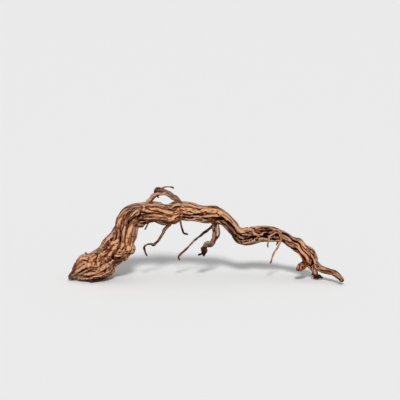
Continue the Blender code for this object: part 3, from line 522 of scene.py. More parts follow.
# Strands that stand out in front, lighter or darker partly by their own tone and partly by painted highlight
# and shade: warmth, lightness, lift in mm, half width in steps, then the points
BANDS = [
    # the butt
    (-0.8, -0.4, 0.0, 3.0, [(70, 275.5), (73, 277.5), (77, 279)]),
    (-0.3, -0.3, 0.6, 1.6, [(75, 267), (77, 262), (79.5, 258.5), (83, 256)]),
    (0.9, 0.7, 0.6, 1.4, [(81.5, 258.4), (84, 257.8), (86.6, 258.3)]),
    (0.3, 0.7, 1.5, 1.4, [(75.6, 268.6), (79, 265), (83, 262.3), (87, 262)]),
    (-0.6, 0.0, 0.9, 1.2, [(79.4, 269), (83, 267), (87, 265)]),
    (0.2, 0.5, 0.9, 1.3, [(75.6, 271.4), (77.6, 270.4), (80, 269.4)]),
    (-0.1, 0.5, 1.5, 1.0, [(77.6, 275), (82, 272.5), (85, 271), (88.6, 269.4)]),
    (-0.4, -0.4, 0.7, 1.5, [(76, 276.4), (82, 275), (86.6, 273.2)]),
    (0.5, 0.9, 1.3, 1.4, [(85, 274.9), (90, 274), (95, 273.9), (99, 273), (103, 271)]),
    (0.2, 0.7, 0.8, 0.8, [(92.4, 276.3), (97, 276.5), (100, 275.9)]),
    (-0.1, 0.8, 0.5, 0.9, [(77, 277.8), (79.2, 277.6)]),
    (0.4, 0.4, 0.6, 2.0, [(88, 267), (90, 262.6), (92, 257)]),
    (0.0, 0.9, 0.6, 1.0, [(92.8, 262), (94.2, 263.4)]),
    (-0.6, 0.0, 0.8, 1.6, [(90.4, 253), (94, 251.6), (97, 251.8)]),
    (-0.1, 0.4, 0.6, 1.2, [(93.6, 254), (94.6, 257.4)]),
    (0.0, 0.3, 0.9, 1.4, [(98.8, 255), (98, 261), (98.4, 267)]),
    (0.6, 0.5, 0.6, 1.4, [(100, 253.2), (103, 254.6)]),
    (0.5, 0.2, 0.6, 1.6, [(104.6, 264.6), (103, 268), (101.6, 271)]),
    (-0.6, 0.0, 0.5, 1.5, [(109, 272.4), (105.6, 271.4)]),
    # the knobby part
    (-0.4, 0.0, 0.6, 1.2, [(101.6, 247.4), (105, 241), (108, 237), (112.4, 233.2)]),
    (0.4, 0.6, 0.9, 1.3, [(107.6, 238.8), (111, 236.7), (113.6, 236.2)]),
    (-0.4, 0.3, 1.3, 1.1, [(118.4, 228.6), (118.4, 235), (117.8, 238.6)]),
    (0.3, 1.0, 1.3, 1.2, [(111.6, 243.2), (114.5, 241.8), (117, 240.8), (118.4, 239.2)]),
    (-0.3, 0.4, 1.3, 1.2, [(107.8, 248), (109.2, 247.2)]),
    (0.5, 0.5, 0.6, 1.2, [(113.2, 247.4), (115, 248.8)]),
    (0.2, 0.4, 0.8, 1.7, [(107.6, 254.2), (111.4, 252.8)]),
    (0.2, 0.2, 0.6, 1.7, [(100.4, 264), (100.8, 260), (101.6, 256), (103.4, 252.4)]),
    (-0.5, 0.2, 0.7, 0.8, [(99.4, 250), (101.4, 246.6), (103.6, 243), (106, 240)]),
    (0.2, 0.7, 1.2, 1.3, [(120.2, 246.4), (123.2, 244.8), (122, 243)]),
    (-0.2, 0.8, 1.0, 0.9, [(114.8, 254.6), (118, 256), (121.6, 255.2)]),
    (-0.3, 0.4, 1.0, 1.3, [(120.8, 253.2), (123.6, 251.5), (124.8, 249.6)]),
    (-0.7, -0.7, 0.0, 2.0, [(115.6, 261.2), (119.6, 261.4)]),
    (0.0, 0.3, 0.4, 1.4, [(104, 263), (108, 266)]),
    # the neck
    (-0.1, 0.1, 0.7, 1.3, [(124.4, 229), (123, 233), (122.6, 238), (122.4, 241.4)]),
    (0.7, 0.9, 1.4, 1.7, [(131, 226), (129.4, 230), (127.9, 234), (126.9, 238)]),
    (0.5, 0.4, 1.2, 1.5, [(126.9, 238), (126.7, 243), (127, 246)]),
    (0.5, 0.8, 1.0, 1.9, [(126.4, 248.4), (128.4, 247.6), (130, 250.4)]),
    (0.0, 0.2, 0.8, 1.0, [(134.6, 225.4), (133.8, 229), (132.4, 234)]),
    (-0.7, -0.1, 0.6, 1.2, [(136, 226), (134.8, 231), (133.8, 236.6)]),
    (0.4, 0.6, 0.8, 1.1, [(132, 244.6), (132.5, 248.6)]),
    (-0.4, 0.0, 0.4, 1.4, [(128.4, 253.4), (131.6, 251.8)]),
    (0.1, 0.4, 1.2, 1.5, [(118, 229), (119, 222), (120.4, 216), (124, 211.4), (127, 208.6)]),
    (-0.1, 0.1, 0.8, 1.0, [(126.6, 211.4), (125, 214.6), (124.6, 218)]),
    (-0.7, 0.0, 0.9, 1.1, [(126.8, 217), (125.6, 221), (125.4, 225)]),
    (-0.1, 0.6, 0.9, 1.0, [(125.2, 225.4), (124.4, 229), (124, 232)]),
    (0.0, 0.3, 0.8, 1.0, [(122.8, 220), (122, 225), (120.4, 229.6)]),
    # the bend
    (-0.3, 0.3, 0.8, 0.8, [(140.4, 206.6), (135.4, 206.5), (131.5, 207.4), (129, 209.6)]),
    (0.1, 0.3, 0.7, 0.6, [(136.6, 207.9), (133.4, 210), (130.9, 213)]),
    (0.3, 0.8, 1.1, 0.9, [(139.6, 208), (136.6, 210.6), (134, 213.1), (131.2, 216.2)]),
    (-0.3, 0.3, 0.8, 1.0, [(139.7, 210.4), (138, 213.1), (136, 215.7)]),
    (-0.3, 0.1, 0.8, 1.0, [(137.4, 216), (134.6, 218.1), (132.2, 220.4)]),
    (-0.6, -0.3, 0.3, 1.6, [(131.4, 221.6), (133.4, 225)]),
    (-0.5, -0.5, 0.2, 2.2, [(138, 220.6), (141, 219), (146.6, 218.6)]),
    (-0.2, 0.7, 0.4, 0.7, [(141.4, 214), (142.6, 214.6)]),
    # the level stretch, left half
    (0.0, 0.4, 0.8, 1.0, [(143.4, 204.6), (144, 208), (143, 210.4)]),
    (-0.5, 0.1, 0.8, 0.9, [(147, 203.2), (150, 202.8), (155, 202.4), (160, 203), (163, 203.6),
                           (166, 205)]),
    (0.2, 0.3, 1.0, 1.4, [(148, 203.4), (149.6, 204.8), (153, 204.6), (157, 205.2), (162, 206.2),
                          (167, 207.2), (172, 207.6)]),
    (0.0, 0.5, 0.8, 0.8, [(154, 208.2), (158, 208.8), (162, 209.5)]),
    (0.0, 0.3, 0.7, 1.0, [(148, 206.6), (151, 208.8), (155, 209.4)]),
    (-0.2, 0.5, 1.0, 1.0, [(144.4, 210.5), (150, 211.7), (155, 212), (158.4, 212)]),
    (0.3, 0.4, 1.1, 1.5, [(157, 209.9), (163, 211), (168, 212.4), (172, 213.4), (175, 214.6)]),
    (0.4, 0.6, 1.1, 1.4, [(154, 215.6), (158, 216), (162, 215.8), (166, 216.9), (169, 218.3),
                          (172, 219)]),
    (-0.5, 0.3, 0.9, 0.9, [(160.4, 218.9), (164, 218.5), (167, 219.4), (169, 220.7), (171, 221.4)]),
    (-0.4, 0.0, 0.6, 0.9, [(146, 218.6), (151, 218.5), (157, 218.5)]),
    (-0.7, -0.4, 0.3, 1.7, [(143.4, 215.6), (148, 215.6), (150, 216.6)]),
    (-0.5, -0.1, 0.8, 1.3, [(159.6, 221.6), (163, 223.2), (167.4, 224.4)]),
    (0.7, 0.4, 1.4, 1.7, [(180.6, 207.4), (178.4, 210), (176, 213), (174, 216.2), (171.8, 219.6)]),
    (-0.1, 0.6, 1.0, 0.9, [(180.4, 212), (177.4, 214.8), (174.4, 217.8)]),
    (-0.1, 0.6, 1.0, 1.2, [(171.8, 206), (175, 203.9), (178, 203.8), (181, 204.4)]),
    # the level stretch, right half
    (-0.2, 1.0, 0.9, 0.9, [(181, 203.7), (185, 204), (191.4, 204.7)]),
    (0.2, 0.5, 1.0, 0.9, [(181.4, 205.6), (186, 205.9), (191, 206), (196, 206.8), (200.6, 208)]),
    (-0.1, 0.5, 0.9, 0.8, [(182.6, 208.4), (189, 208.2), (194.6, 208.1)]),
    (0.1, 1.0, 1.1, 0.9, [(183.4, 210.4), (189, 210.3), (194, 210.8), (199, 210.9), (204.4, 210.3)]),
    (-0.1, 0.6, 0.9, 0.8, [(182.8, 212.9), (188, 213), (193, 212.8), (199, 212.2)]),
    (-1.0, 0.5, 0.8, 0.8, [(183.8, 215.6), (188, 216.5), (191.6, 217)]),
    (-0.2, 0.5, 1.0, 0.9, [(191.6, 216.4), (197, 216), (201, 216.2), (206.6, 215.7)]),
    (-0.2, 0.5, 0.9, 0.9, [(192.6, 218.3), (197, 217.9), (202, 217.8), (207, 216.8)]),
    (-0.6, -0.1, 0.8, 1.0, [(200.6, 219.6), (206, 219.8), (211, 219.3), (215.6, 219.2)]),
    (-0.6, -0.5, 0.4, 1.2, [(182.2, 216.4), (184.4, 218.6), (190, 220)]),
    (1.0, 0.5, 1.3, 2.0, [(202, 209), (206, 209), (210, 209.9), (214, 210.6), (218, 211.2)]),
    (0.7, 0.9, 1.5, 2.3, [(216, 210.8), (220, 212.6), (224, 215), (228, 217.9), (232, 221),
                          (235.4, 224.4), (237.8, 228), (240.4, 231)]),
    (-0.7, -0.2, 0.7, 0.8, [(208.6, 208), (212, 206.8), (216, 206.2), (219.4, 207.9), (224, 211.8),
                            (228, 215.4)]),
    (0.1, 0.0, 0.8, 0.9, [(209.4, 215.2), (215, 215.3), (220, 216.2), (225, 218.4)]),
    (0.6, 0.5, 1.3, 0.9, [(206.6, 213.4), (211, 213.5), (215, 213.7), (219, 215)]),
    # the slope
    (-1.0, 0.3, 1.8, 1.5, [(222.4, 220.8), (226.6, 223), (229.4, 226.2), (231.8, 229.4), (234.2, 233),
                            (236.6, 237)]),
    (-1.0, 0.4, 1.0, 0.8, [(216.4, 220.4), (220.4, 222.4), (224, 225.4), (227.4, 228.4)]),
    (-1.0, -0.5, 0.6, 0.9, [(229, 230.6), (231.4, 234.6), (233.4, 237)]),
    (-0.7, -0.1, 0.8, 1.3, [(236.6, 237.6), (238.6, 240.6), (241, 242.4)]),
    # the twisted stretch
    (0.5, 0.7, 1.1, 1.3, [(240, 230.6), (245, 229.8), (250, 229.2), (253, 230.4), (255.4, 233),
                          (257.6, 235.2), (261, 235.6)]),
    (-0.2, 0.7, 0.9, 0.7, [(258.6, 235.6), (262, 235), (263.6, 233), (265.6, 231.9), (268.6, 232.7)]),
    (-0.5, 0.4, 0.8, 0.6, [(240, 235.5), (245, 235.7), (248, 234.3), (252.4, 233.1)]),
    (-0.4, -0.2, 0.8, 0.9, [(240, 237.3), (246, 236.4), (251, 235.7), (255.4, 235.9)]),
    (-0.6, -0.3, 0.8, 0.9, [(240, 241.2), (244, 240.4), (248.6, 239.6)]),
    (-0.3, 1.0, 0.9, 0.5, [(249.2, 240.5), (251, 239.4), (253, 238.3)]),
    (-0.4, 0.0, 1.0, 1.3, [(240, 243.3), (245, 243.6), (249, 243.1), (254, 241.3), (259, 240.8)]),
    (-0.1, 1.0, 0.5, 0.6, [(256.6, 238.3), (258.2, 238.2)]),
    (-0.4, 0.5, 0.8, 0.8, [(259.4, 238.2), (263, 237.9), (266, 239), (269, 239.4)]),
    (0.0, -0.2, 0.8, 1.3, [(255.8, 230.8), (259, 231.6), (261.6, 232.4)]),
    (-0.3, 0.4, 0.7, 0.8, [(255, 228.2), (259, 228.2), (262, 228.4)]),
    (-0.8, -0.8, 0.5, 1.5, [(262, 227.4), (266, 227.8), (270, 227.6)]),
    (0.1, 0.3, 0.9, 1.0, [(270, 228.2), (275, 229.2), (279, 230)]),
    (-0.3, 0.5, 1.0, 0.9, [(268.6, 233.4), (271.6, 232.4), (274, 231.2)]),
    (-0.5, -0.3, 0.6, 1.0, [(272, 237), (275.6, 237.4), (278, 237.6)]),
    # where it forks
    (-0.8, -0.3, 0.8, 1.0, [(281, 230.5), (286, 232.7), (291, 236), (295.4, 239.4)]),
    (-0.1, -0.1, 1.3, 3.3, [(281, 236.4), (285, 238.2), (288.4, 240.8), (292, 244), (296, 246.2)]),
    (0.1, 0.3, 1.5, 0.9, [(285.6, 236.8), (289, 239.2), (292, 241.9)]),
    (-0.4, -0.7, 1.0, 0.5, [(284.6, 240), (287.4, 242), (290, 244.4)]),
    (0.0, 0.6, 1.4, 1.6, [(296, 245), (299, 248), (302, 251.8), (305, 255.4), (307.6, 259),
                          (308.6, 262)]),
    (0.1, 1.0, 0.5, 0.8, [(297.4, 244.4), (299.4, 246.6), (302, 251.4)]),
    (0.2, 1.0, 0.6, 0.9, [(306.8, 257.2), (308.4, 259.6)]),
    (0.9, 1.0, 1.3, 1.5, [(299.4, 240.6), (302.2, 243), (305, 246.6), (307.4, 249.6)]),
    (0.6, 0.9, 0.9, 0.6, [(300.6, 242.8), (302, 246.4), (304.2, 250), (308.2, 253.2), (311, 256)]),
    (-0.1, 0.3, 0.8, 0.8, [(306.8, 250.8), (310.4, 253), (313, 255.4)]),
    (0.0, 0.7, 1.3, 1.1, [(310.8, 255.4), (313.4, 258.8), (315.4, 262), (316.8, 265.4)]),
    (-0.5, 0.0, 0.8, 1.0, [(309.6, 249.8), (313, 251.8), (315.4, 254.8), (316.6, 259), (317, 263)]),
    (0.4, 0.2, 0.8, 1.3, [(315.6, 266), (316, 272), (315.6, 277)]),
    (0.0, 0.1, 0.4, 1.8, [(303.6, 264), (301, 267), (299, 269)]),
    (0.0, 0.0, 0.6, 1.4, [(318, 266.6), (324, 268.8), (330, 270)]),
    (-0.5, -0.3, 0.6, 1.2, [(335, 271.8), (338.4, 275), (341.4, 278.4)]),
]

# Places where the outline swells or shrinks: across, down, reach in steps, and mm outwards
SWELLS = [
    (98.0, 245.5, 4.5, -3.0),
    (102.5, 240.5, 3.5, -1.2),
    (107.0, 233.6, 4.5, -1.9),
    (116.0, 269.0, 5.0, -4.4),
    (113.0, 276.0, 3.5, -2.0),
    (118.0, 265.0, 3.0, -1.4),
    (71.0, 275.0, 4.0, 2.3),
    (97.6, 248.4, 2.2, -1.6),
    (74.0, 267.0, 4.0, 1.3),
    (77.0, 259.0, 5.0, 1.8),
    (85.0, 254.0, 4.0, -0.7),
    (90.0, 252.0, 4.0, -0.7),
    (95.0, 249.6, 3.0, -1.2),
    (116.5, 219.0, 5.0, 1.0),
    (121.0, 210.0, 5.0, 1.0),
    (132.0, 204.6, 7.0, 0.9),
    (155.0, 223.4, 8.0, -1.1),
    (167.6, 204.2, 3.6, -5.2),
    (136.0, 238.0, 4.5, 1.0),
    (131.8, 254.2, 3.0, 1.2),
    (142.5, 225.5, 3.5, 0.6),
    (187.0, 220.4, 4.0, 1.2),
    (196.0, 204.0, 7.0, 0.8),
    (212.0, 205.0, 8.0, 0.7),
    (198.0, 222.4, 10.0, -1.9),
    (223.5, 226.0, 4.0, -2.8),
    (230.5, 233.5, 5.5, -5.0),
    (236.0, 218.4, 4.0, -0.8),
    (228.0, 231.0, 3.5, -2.0),
    (228.0, 212.0, 6.0, 0.2),
    (240.5, 225.5, 3.0, -2.6),
    (258.0, 242.4, 9.0, -1.5),
    (262.0, 226.0, 10.0, 0.8),
    (278.0, 229.4, 5.0, 0.2),
    (290.0, 232.6, 5.0, -1.8),
    (294.6, 236.8, 3.4, -1.8),
    (300.8, 239.4, 2.8, 1.3),
    (290.0, 247.6, 3.6, 1.8),
    (298.0, 255.0, 4.0, -1.9),
    (307.6, 244.6, 4.0, -3.6),
    (313.8, 250.2, 3.0, 1.0),
    (303.0, 257.0, 3.0, -1.5),
    (320.5, 263.0, 3.5, -1.2),
    (298.2, 268.8, 2.4, 1.0),
    (298.4, 263.0, 3.0, 1.8),
]

# Tinted stretches of the trunk, partly the wood's own tone and partly painted light and shade: across, down,
# half width and half height in steps, warmth and lightness
TONES_AND_PAINTED_LIGHT = [
    # butt
    (92.0, 266.0, 20.0, 14.0, 0.2, -0.3),
    (97.0, 255.6, 6.0, 3.6, 0.0, -0.5),
    (112.0, 270.0, 3.0, 7.0, -0.6, 0.0),
    (74.0, 266.0, 3.5, 9.0, -0.6, -0.6),
    (70.4, 276.6, 3.4, 4.0, -1.0, -0.2),
    (108.0, 262.0, 9.0, 3.0, 0.0, -0.4),
    (90.0, 264.0, 8.0, 1.4, 0.0, -0.5),
    (92.0, 272.4, 8.0, 1.2, 0.0, -0.4),
    (118.0, 240.0, 2.6, 6.0, 0.1, -0.5),
    (124.0, 241.0, 2.0, 6.0, 0.1, -0.5),
    (109.0, 246.0, 5.0, 5.0, 0.2, -0.4),
    (94.0, 280.3, 8.0, 2.4, -0.8, -1.4),
    (86.0, 255.0, 5.0, 3.0, 0.0, 0.7),
    (77.0, 278.4, 5.0, 2.0, -0.4, 1.9),
    (84.0, 253.0, 6.0, 3.0, -0.5, 0.8),
    (116.0, 266.0, 3.0, 3.0, -0.3, 0.6),
    (99.0, 248.0, 3.0, 3.0, -0.2, 0.9),
    (90.0, 251.6, 7.0, 1.8, -0.3, 0.6),
    (98.0, 255.0, 6.0, 2.6, 0.0, -0.5),
    (97.0, 280.8, 7.0, 1.4, -0.3, -0.8),
    (88.0, 277.8, 6.0, 1.8, -0.2, 0.9),
    (89.0, 267.6, 3.0, 2.0, 0.0, 0.5),
    (106.0, 268.0, 4.0, 3.6, 0.0, 0.7),
    (109.0, 278.0, 4.0, 1.8, 0.1, 0.7),
    # neck and bend
    (103.0, 246.0, 3.0, 3.0, 0.0, -0.7),
    (119.0, 257.0, 5.0, 2.6, -0.1, -0.6),
    (116.0, 239.0, 2.0, 5.0, 0.0, -0.5),
    (115.6, 250.0, 2.4, 4.0, 0.0, 0.7),
    (126.4, 257.0, 3.0, 3.4, -0.2, 0.7),
    (132.4, 236.0, 2.0, 6.0, -0.2, -0.9),
    (133.0, 210.4, 5.0, 2.0, 0.0, -0.5),
    (126.0, 219.0, 4.0, 3.6, -0.1, -0.6),
    (129.0, 204.8, 9.0, 1.8, -0.2, 1.0),
    (144.0, 202.4, 6.0, 1.4, -0.2, 0.9),
    (108.0, 249.0, 4.0, 6.0, 0.1, -0.6),
    (112.0, 253.0, 5.0, 5.0, 0.0, -0.6),
    (125.0, 255.0, 5.0, 3.0, -0.6, -0.8),
    (119.0, 233.0, 3.0, 8.0, 0.1, -0.5),
    (117.0, 244.0, 10.0, 16.0, 0.2, -0.4),
    (133.0, 238.0, 4.0, 12.0, -0.5, 0.5),
    (127.0, 220.0, 9.0, 14.0, 0.0, -0.5),
    (127.0, 235.0, 3.0, 5.0, 0.0, 0.7),
    (118.0, 246.0, 4.0, 5.0, 0.1, 0.6),
    (116.5, 226.0, 3.0, 9.0, -0.5, -0.8),
    (130.0, 207.0, 9.0, 5.0, -0.5, -0.4),
    (138.0, 213.0, 8.0, 7.0, 0.1, -0.3),
    (136.0, 221.0, 8.0, 3.0, -0.2, -0.6),
    (136.6, 230.0, 2.5, 5.0, 0.2, 1.6),
    (141.6, 225.6, 5.0, 3.0, -0.6, -0.6),
    # level stretch
    (152.0, 212.0, 20.0, 5.0, 0.4, -0.1),
    (157.0, 205.4, 9.0, 3.0, 0.1, -0.6),
    (143.0, 204.0, 4.0, 2.0, -0.2, 0.6),
    (163.0, 220.5, 6.0, 2.5, -0.3, -0.8),
    (168.0, 214.6, 4.0, 2.0, 0.3, 0.9),
    (176.0, 201.6, 4.0, 1.5, 0.4, 0.9),
    (176.0, 209.0, 5.0, 2.5, 0.0, -1.2),
    (186.0, 204.0, 6.0, 1.5, 0.1, 0.4),
    (188.0, 209.0, 7.0, 2.5, 0.4, 0.0),
    (188.0, 216.3, 9.0, 2.3, -0.7, 0.1),
    (188.0, 220.2, 8.0, 1.5, -0.3, 1.0),
    (163.0, 209.0, 4.4, 1.8, -0.2, -1.0),
    (180.4, 216.6, 2.4, 2.6, -0.4, -1.1),
    (170.4, 214.8, 2.4, 1.8, 0.0, 0.6),
    (180.6, 208.0, 1.6, 4.0, -0.2, -0.8),
    (209.0, 208.8, 12.0, 1.6, -0.1, -0.5),
    (204.0, 206.2, 5.0, 1.0, -0.3, 1.0),
    (190.0, 206.6, 8.0, 3.6, 0.4, 1.4),
    (192.0, 212.0, 8.0, 5.0, 0.1, 0.4),
    (186.0, 214.0, 5.0, 4.0, 0.1, 0.6),
    (215.0, 212.0, 8.0, 3.0, 0.2, 0.2),
    (215.0, 211.6, 8.0, 2.4, 0.6, -0.3),
    (207.0, 221.6, 7.0, 1.2, -0.3, -0.7),
    (185.0, 212.0, 3.0, 1.6, 0.0, 0.6),
    (207.0, 213.5, 4.0, 1.5, 0.2, 0.5),
    (204.0, 208.0, 5.0, 3.0, -0.5, -0.1),
    (212.0, 219.5, 8.0, 3.0, -0.8, -1.1),
    (195.0, 216.0, 12.0, 2.0, -0.2, -0.6),
    (160.0, 219.0, 12.0, 2.0, -0.2, -0.5),
    (188.0, 203.0, 7.0, 1.6, -0.4, 0.8),
    (214.0, 206.4, 5.0, 2.0, -0.3, -0.9),
    (209.0, 215.6, 3.0, 1.5, 0.3, 0.9),
    (213.0, 213.8, 5.0, 0.9, 0.2, 1.0),
    (212.6, 211.0, 4.6, 2.2, -0.1, -0.4),
    (190.0, 205.0, 7.0, 2.4, 0.0, 0.5),
    # slope and valley
    (228.0, 213.6, 6.0, 3.0, -0.5, 0.8),
    (228.0, 221.6, 5.0, 4.0, -0.8, -0.8),
    (232.0, 234.0, 3.0, 5.0, -0.6, -0.8),
    (228.0, 214.0, 7.0, 4.0, 0.0, 0.4),
    (242.0, 227.8, 3.0, 1.6, -0.2, 0.6),
    (255.0, 231.0, 8.0, 2.8, -0.3, -0.6),
    (251.6, 239.8, 4.0, 1.8, -0.3, -0.6),
    (258.0, 241.4, 4.0, 1.4, -0.3, 0.8),
    (250.0, 235.8, 4.0, 1.0, -0.4, 0.5),
    (222.0, 208.0, 8.0, 4.0, -0.5, 0.0),
    (234.0, 218.0, 6.0, 6.0, -0.7, 0.1),
    (231.0, 231.0, 3.0, 8.0, -0.9, -0.8),
    (236.0, 221.0, 4.0, 9.0, -0.9, 0.0),
    (224.0, 210.0, 5.0, 4.0, -0.5, 0.6),
    (225.0, 225.5, 4.0, 3.0, -1.0, -1.0),
    (232.0, 233.0, 8.0, 9.0, -0.6, -0.5),
    (230.0, 231.0, 4.0, 4.0, -0.8, -1.0),
    (235.0, 237.5, 4.0, 4.0, -0.6, -1.0),
    (242.0, 226.8, 3.5, 2.0, -0.4, 1.0),
    (246.0, 239.0, 12.0, 6.0, -0.2, 0.0),
    (250.0, 239.6, 5.0, 2.4, -0.3, -0.7),
    (238.0, 230.0, 3.0, 4.0, -0.2, 0.8),
    (234.0, 224.6, 2.6, 3.4, 0.1, 0.6),
    (242.0, 240.0, 6.0, 4.0, -0.2, -0.6),
    (250.0, 243.0, 9.0, 2.0, -0.5, 0.0),
    # twisted stretch
    (272.0, 233.4, 5.0, 3.6, -0.2, -0.5),
    (270.0, 226.4, 12.0, 1.4, -0.3, 0.8),
    (265.0, 234.0, 12.0, 8.0, -0.3, -0.6),
    (264.0, 230.0, 8.0, 2.5, -0.2, -0.4),
    (270.0, 229.0, 4.0, 2.0, -0.1, -0.6),
    (264.0, 226.0, 10.0, 1.2, -0.4, 2.0),
    (258.0, 239.5, 4.5, 2.5, 0.0, 1.4),
    (275.0, 238.0, 4.0, 2.5, -0.2, -0.8),
    (268.0, 241.0, 8.0, 2.0, -0.9, 0.0),
    # forks, stub, foot and tip
    (286.0, 231.0, 5.0, 1.8, -0.3, 0.7),
    (293.4, 236.8, 3.4, 2.4, -0.3, 1.0),
    (300.0, 240.4, 4.0, 1.8, -0.4, -0.8),
    (307.6, 246.6, 4.0, 2.6, -0.3, 1.6),
    (310.0, 255.0, 4.0, 6.0, 0.2, 0.4),
    (289.0, 241.0, 8.0, 6.0, 0.0, 0.1),
    (304.4, 258.6, 3.0, 3.0, -0.1, -0.6),
    (310.0, 262.0, 3.0, 3.0, -0.2, -0.5),
    (290.0, 241.0, 11.0, 10.0, -0.5, -0.5),
    (290.0, 248.0, 6.0, 3.0, -0.2, -0.6),
    (304.0, 250.0, 8.0, 8.0, -0.2, 0.7),
    (286.0, 235.6, 4.0, 3.0, -0.1, -0.5),
    (296.0, 250.5, 4.0, 4.0, -0.6, -0.9),
    (303.0, 256.6, 4.0, 5.0, -0.3, -1.6),
    (306.0, 263.0, 3.0, 4.0, -0.4, -0.8),
    (308.0, 248.0, 4.0, 3.0, -0.1, 1.5),
    (303.0, 241.4, 5.0, 2.5, -0.8, 0.3),
    (314.0, 258.0, 3.0, 3.0, 0.0, 0.8),
    (313.4, 254.0, 3.0, 4.0, -0.6, -0.7),
    (319.0, 264.5, 4.0, 3.0, -0.3, 1.0),
    (299.0, 267.0, 5.0, 6.0, -1.0, -0.7),
    (303.6, 264.0, 3.0, 2.4, 0.0, -0.7),
    (297.0, 266.0, 2.0, 4.0, -0.4, 0.6),
    (315.0, 272.0, 3.0, 4.0, 0.0, 0.9),
    (315.0, 266.0, 3.0, 4.0, 0.0, -0.6),
    (314.0, 274.0, 4.0, 6.0, -0.9, -0.3),
    (329.0, 272.0, 13.0, 7.0, 0.8, -1.5),
    (340.5, 279.0, 3.5, 3.0, -0.8, -0.4),
    (325.0, 268.4, 6.0, 2.2, -0.4, 0.6),
]

# Where the trunk is painted nearly black, partly the wood's own dark spots and partly painted shade in
# hollows and under overhangs: across, down, half width, half height, in steps, and how dark
DARK_TRUNK = [
    (69.0, 277.0, 3.0, 3.6, 0.5),
    (97.0, 279.8, 5.0, 1.6, 0.7),
    (92.0, 281.4, 4.0, 1.2, 0.6),
    (112.8, 256.8, 1.4, 1.6, 0.7),
    (119.6, 258.4, 4.4, 1.0, 0.6),
    (116.0, 259.2, 2.4, 1.1, 0.7),
    (123.4, 256.6, 1.8, 1.2, 0.7),
    (126.2, 253.8, 1.1, 1.5, 0.6),
    (142.0, 223.0, 4.4, 1.4, 0.75),
    (153.0, 220.8, 6.0, 1.1, 0.7),
    (165.0, 221.8, 4.0, 1.1, 0.8),
    (187.0, 214.6, 5.0, 0.7, 0.6),
    (186.0, 217.1, 3.6, 0.7, 0.6),
    (221.6, 222.4, 1.3, 0.9, 0.6),
    (224.0, 224.8, 1.3, 1.0, 0.6),
    (226.4, 227.4, 1.2, 1.1, 0.6),
    (228.6, 229.8, 1.1, 1.3, 0.7),
    (231.0, 232.4, 1.8, 2.0, 0.9),
    (233.6, 235.8, 2.2, 2.4, 0.95),
    (236.4, 239.8, 1.6, 1.8, 0.8),
    (265.6, 234.6, 2.2, 2.0, 0.6),
    (271.0, 230.0, 3.0, 0.9, 0.5),
    (262.6, 236.4, 2.4, 0.8, 0.5),
    (275.4, 239.2, 2.2, 1.2, 0.6),
    (276.8, 235.0, 1.4, 1.6, 0.6),
    (299.4, 271.2, 2.2, 0.9, 0.8),
    (296.8, 268.2, 1.0, 2.4, 0.7),
    (301.4, 261.8, 2.2, 0.8, 0.8),
    (319.0, 278.3, 3.8, 1.6, 0.95),
    (315.4, 278.4, 2.6, 1.2, 0.8),
    (342.4, 280.8, 2.6, 2.0, 0.75),
]

# The same for the rootlets
DARK_ROOTLETS = [
    (232.0, 233.6, 3.0, 3.6, 0.9),
    (236.0, 238.6, 2.2, 2.2, 0.9),
    (154.8, 191.0, 2.0, 1.8, 0.95),
    (157.4, 188.2, 2.6, 1.1, 0.9),
    (157.4, 195.8, 1.4, 1.4, 0.9),
    (160.6, 191.7, 3.8, 0.6, 0.9),
    (166.0, 193.4, 2.6, 0.5, 0.7),
    (171.4, 196.2, 3.0, 0.7, 0.6),
    (176.6, 200.8, 1.6, 1.0, 0.8),
    (167.6, 195.9, 1.2, 0.6, 0.7),
    (169.6, 196.4, 1.0, 0.6, 0.8),
    (172.0, 197.9, 1.1, 0.6, 0.9),
    (174.8, 199.7, 1.0, 0.7, 0.9),
    (172.4, 187.6, 1.5, 1.3, 0.95),
    (181.3, 226.8, 1.2, 1.4, 0.8),
    (182.6, 230.2, 1.8, 2.8, 1.0),
    (184.8, 233.5, 2.8, 1.4, 1.0),
    (146.0, 227.0, 2.8, 3.6, 0.9),
    (156.4, 242.4, 3.0, 2.4, 0.8),
    (160.4, 237.6, 3.6, 4.0, 0.35),
    (144.2, 248.0, 2.4, 3.0, 1.0),
    (145.4, 254.8, 2.0, 3.0, 0.9),
    (162.4, 232.0, 3.0, 5.0, 0.3),
    (209.2, 228.8, 3.6, 2.8, 1.0),
    (205.2, 231.9, 4.6, 4.0, 1.0),
    (200.8, 235.3, 4.6, 4.0, 1.0),
    (196.4, 239.0, 3.6, 3.4, 0.9),
    (191.0, 243.6, 4.0, 3.6, 0.5),
    (184.6, 250.2, 4.0, 3.6, 0.4),
    (178.6, 258.0, 1.6, 2.2, 0.6),
    (150.4, 245.2, 5.0, 2.0, 0.75),
    (144.0, 251.6, 2.2, 3.6, 0.6),
    (209.4, 245.4, 4.6, 2.4, 0.5),
    (215.6, 222.6, 3.2, 1.2, 0.5),
    (215.3, 226.0, 0.6, 3.0, 0.8),
    (210.4, 247.0, 3.4, 1.1, 0.9),
    (204.8, 247.4, 2.4, 2.0, 0.5),
    (203.6, 252.0, 3.4, 4.6, 0.95),
    (200.0, 254.6, 3.4, 1.8, 0.95),
    (217.4, 237.4, 1.6, 1.3, 0.95),
    (267.6, 244.4, 1.6, 3.4, 0.5),
    (277.0, 243.4, 1.8, 2.8, 0.7),
    (276.8, 248.4, 2.0, 1.6, 0.7),
    (273.6, 255.0, 2.0, 4.0, 0.5),
    (278.2, 246.6, 1.6, 2.6, 0.5),
    (271.2, 261.6, 1.8, 3.4, 0.8),
    (312.0, 275.5, 1.6, 1.3, 0.95),
    (320.4, 277.0, 6.0, 2.6, 0.98),
]

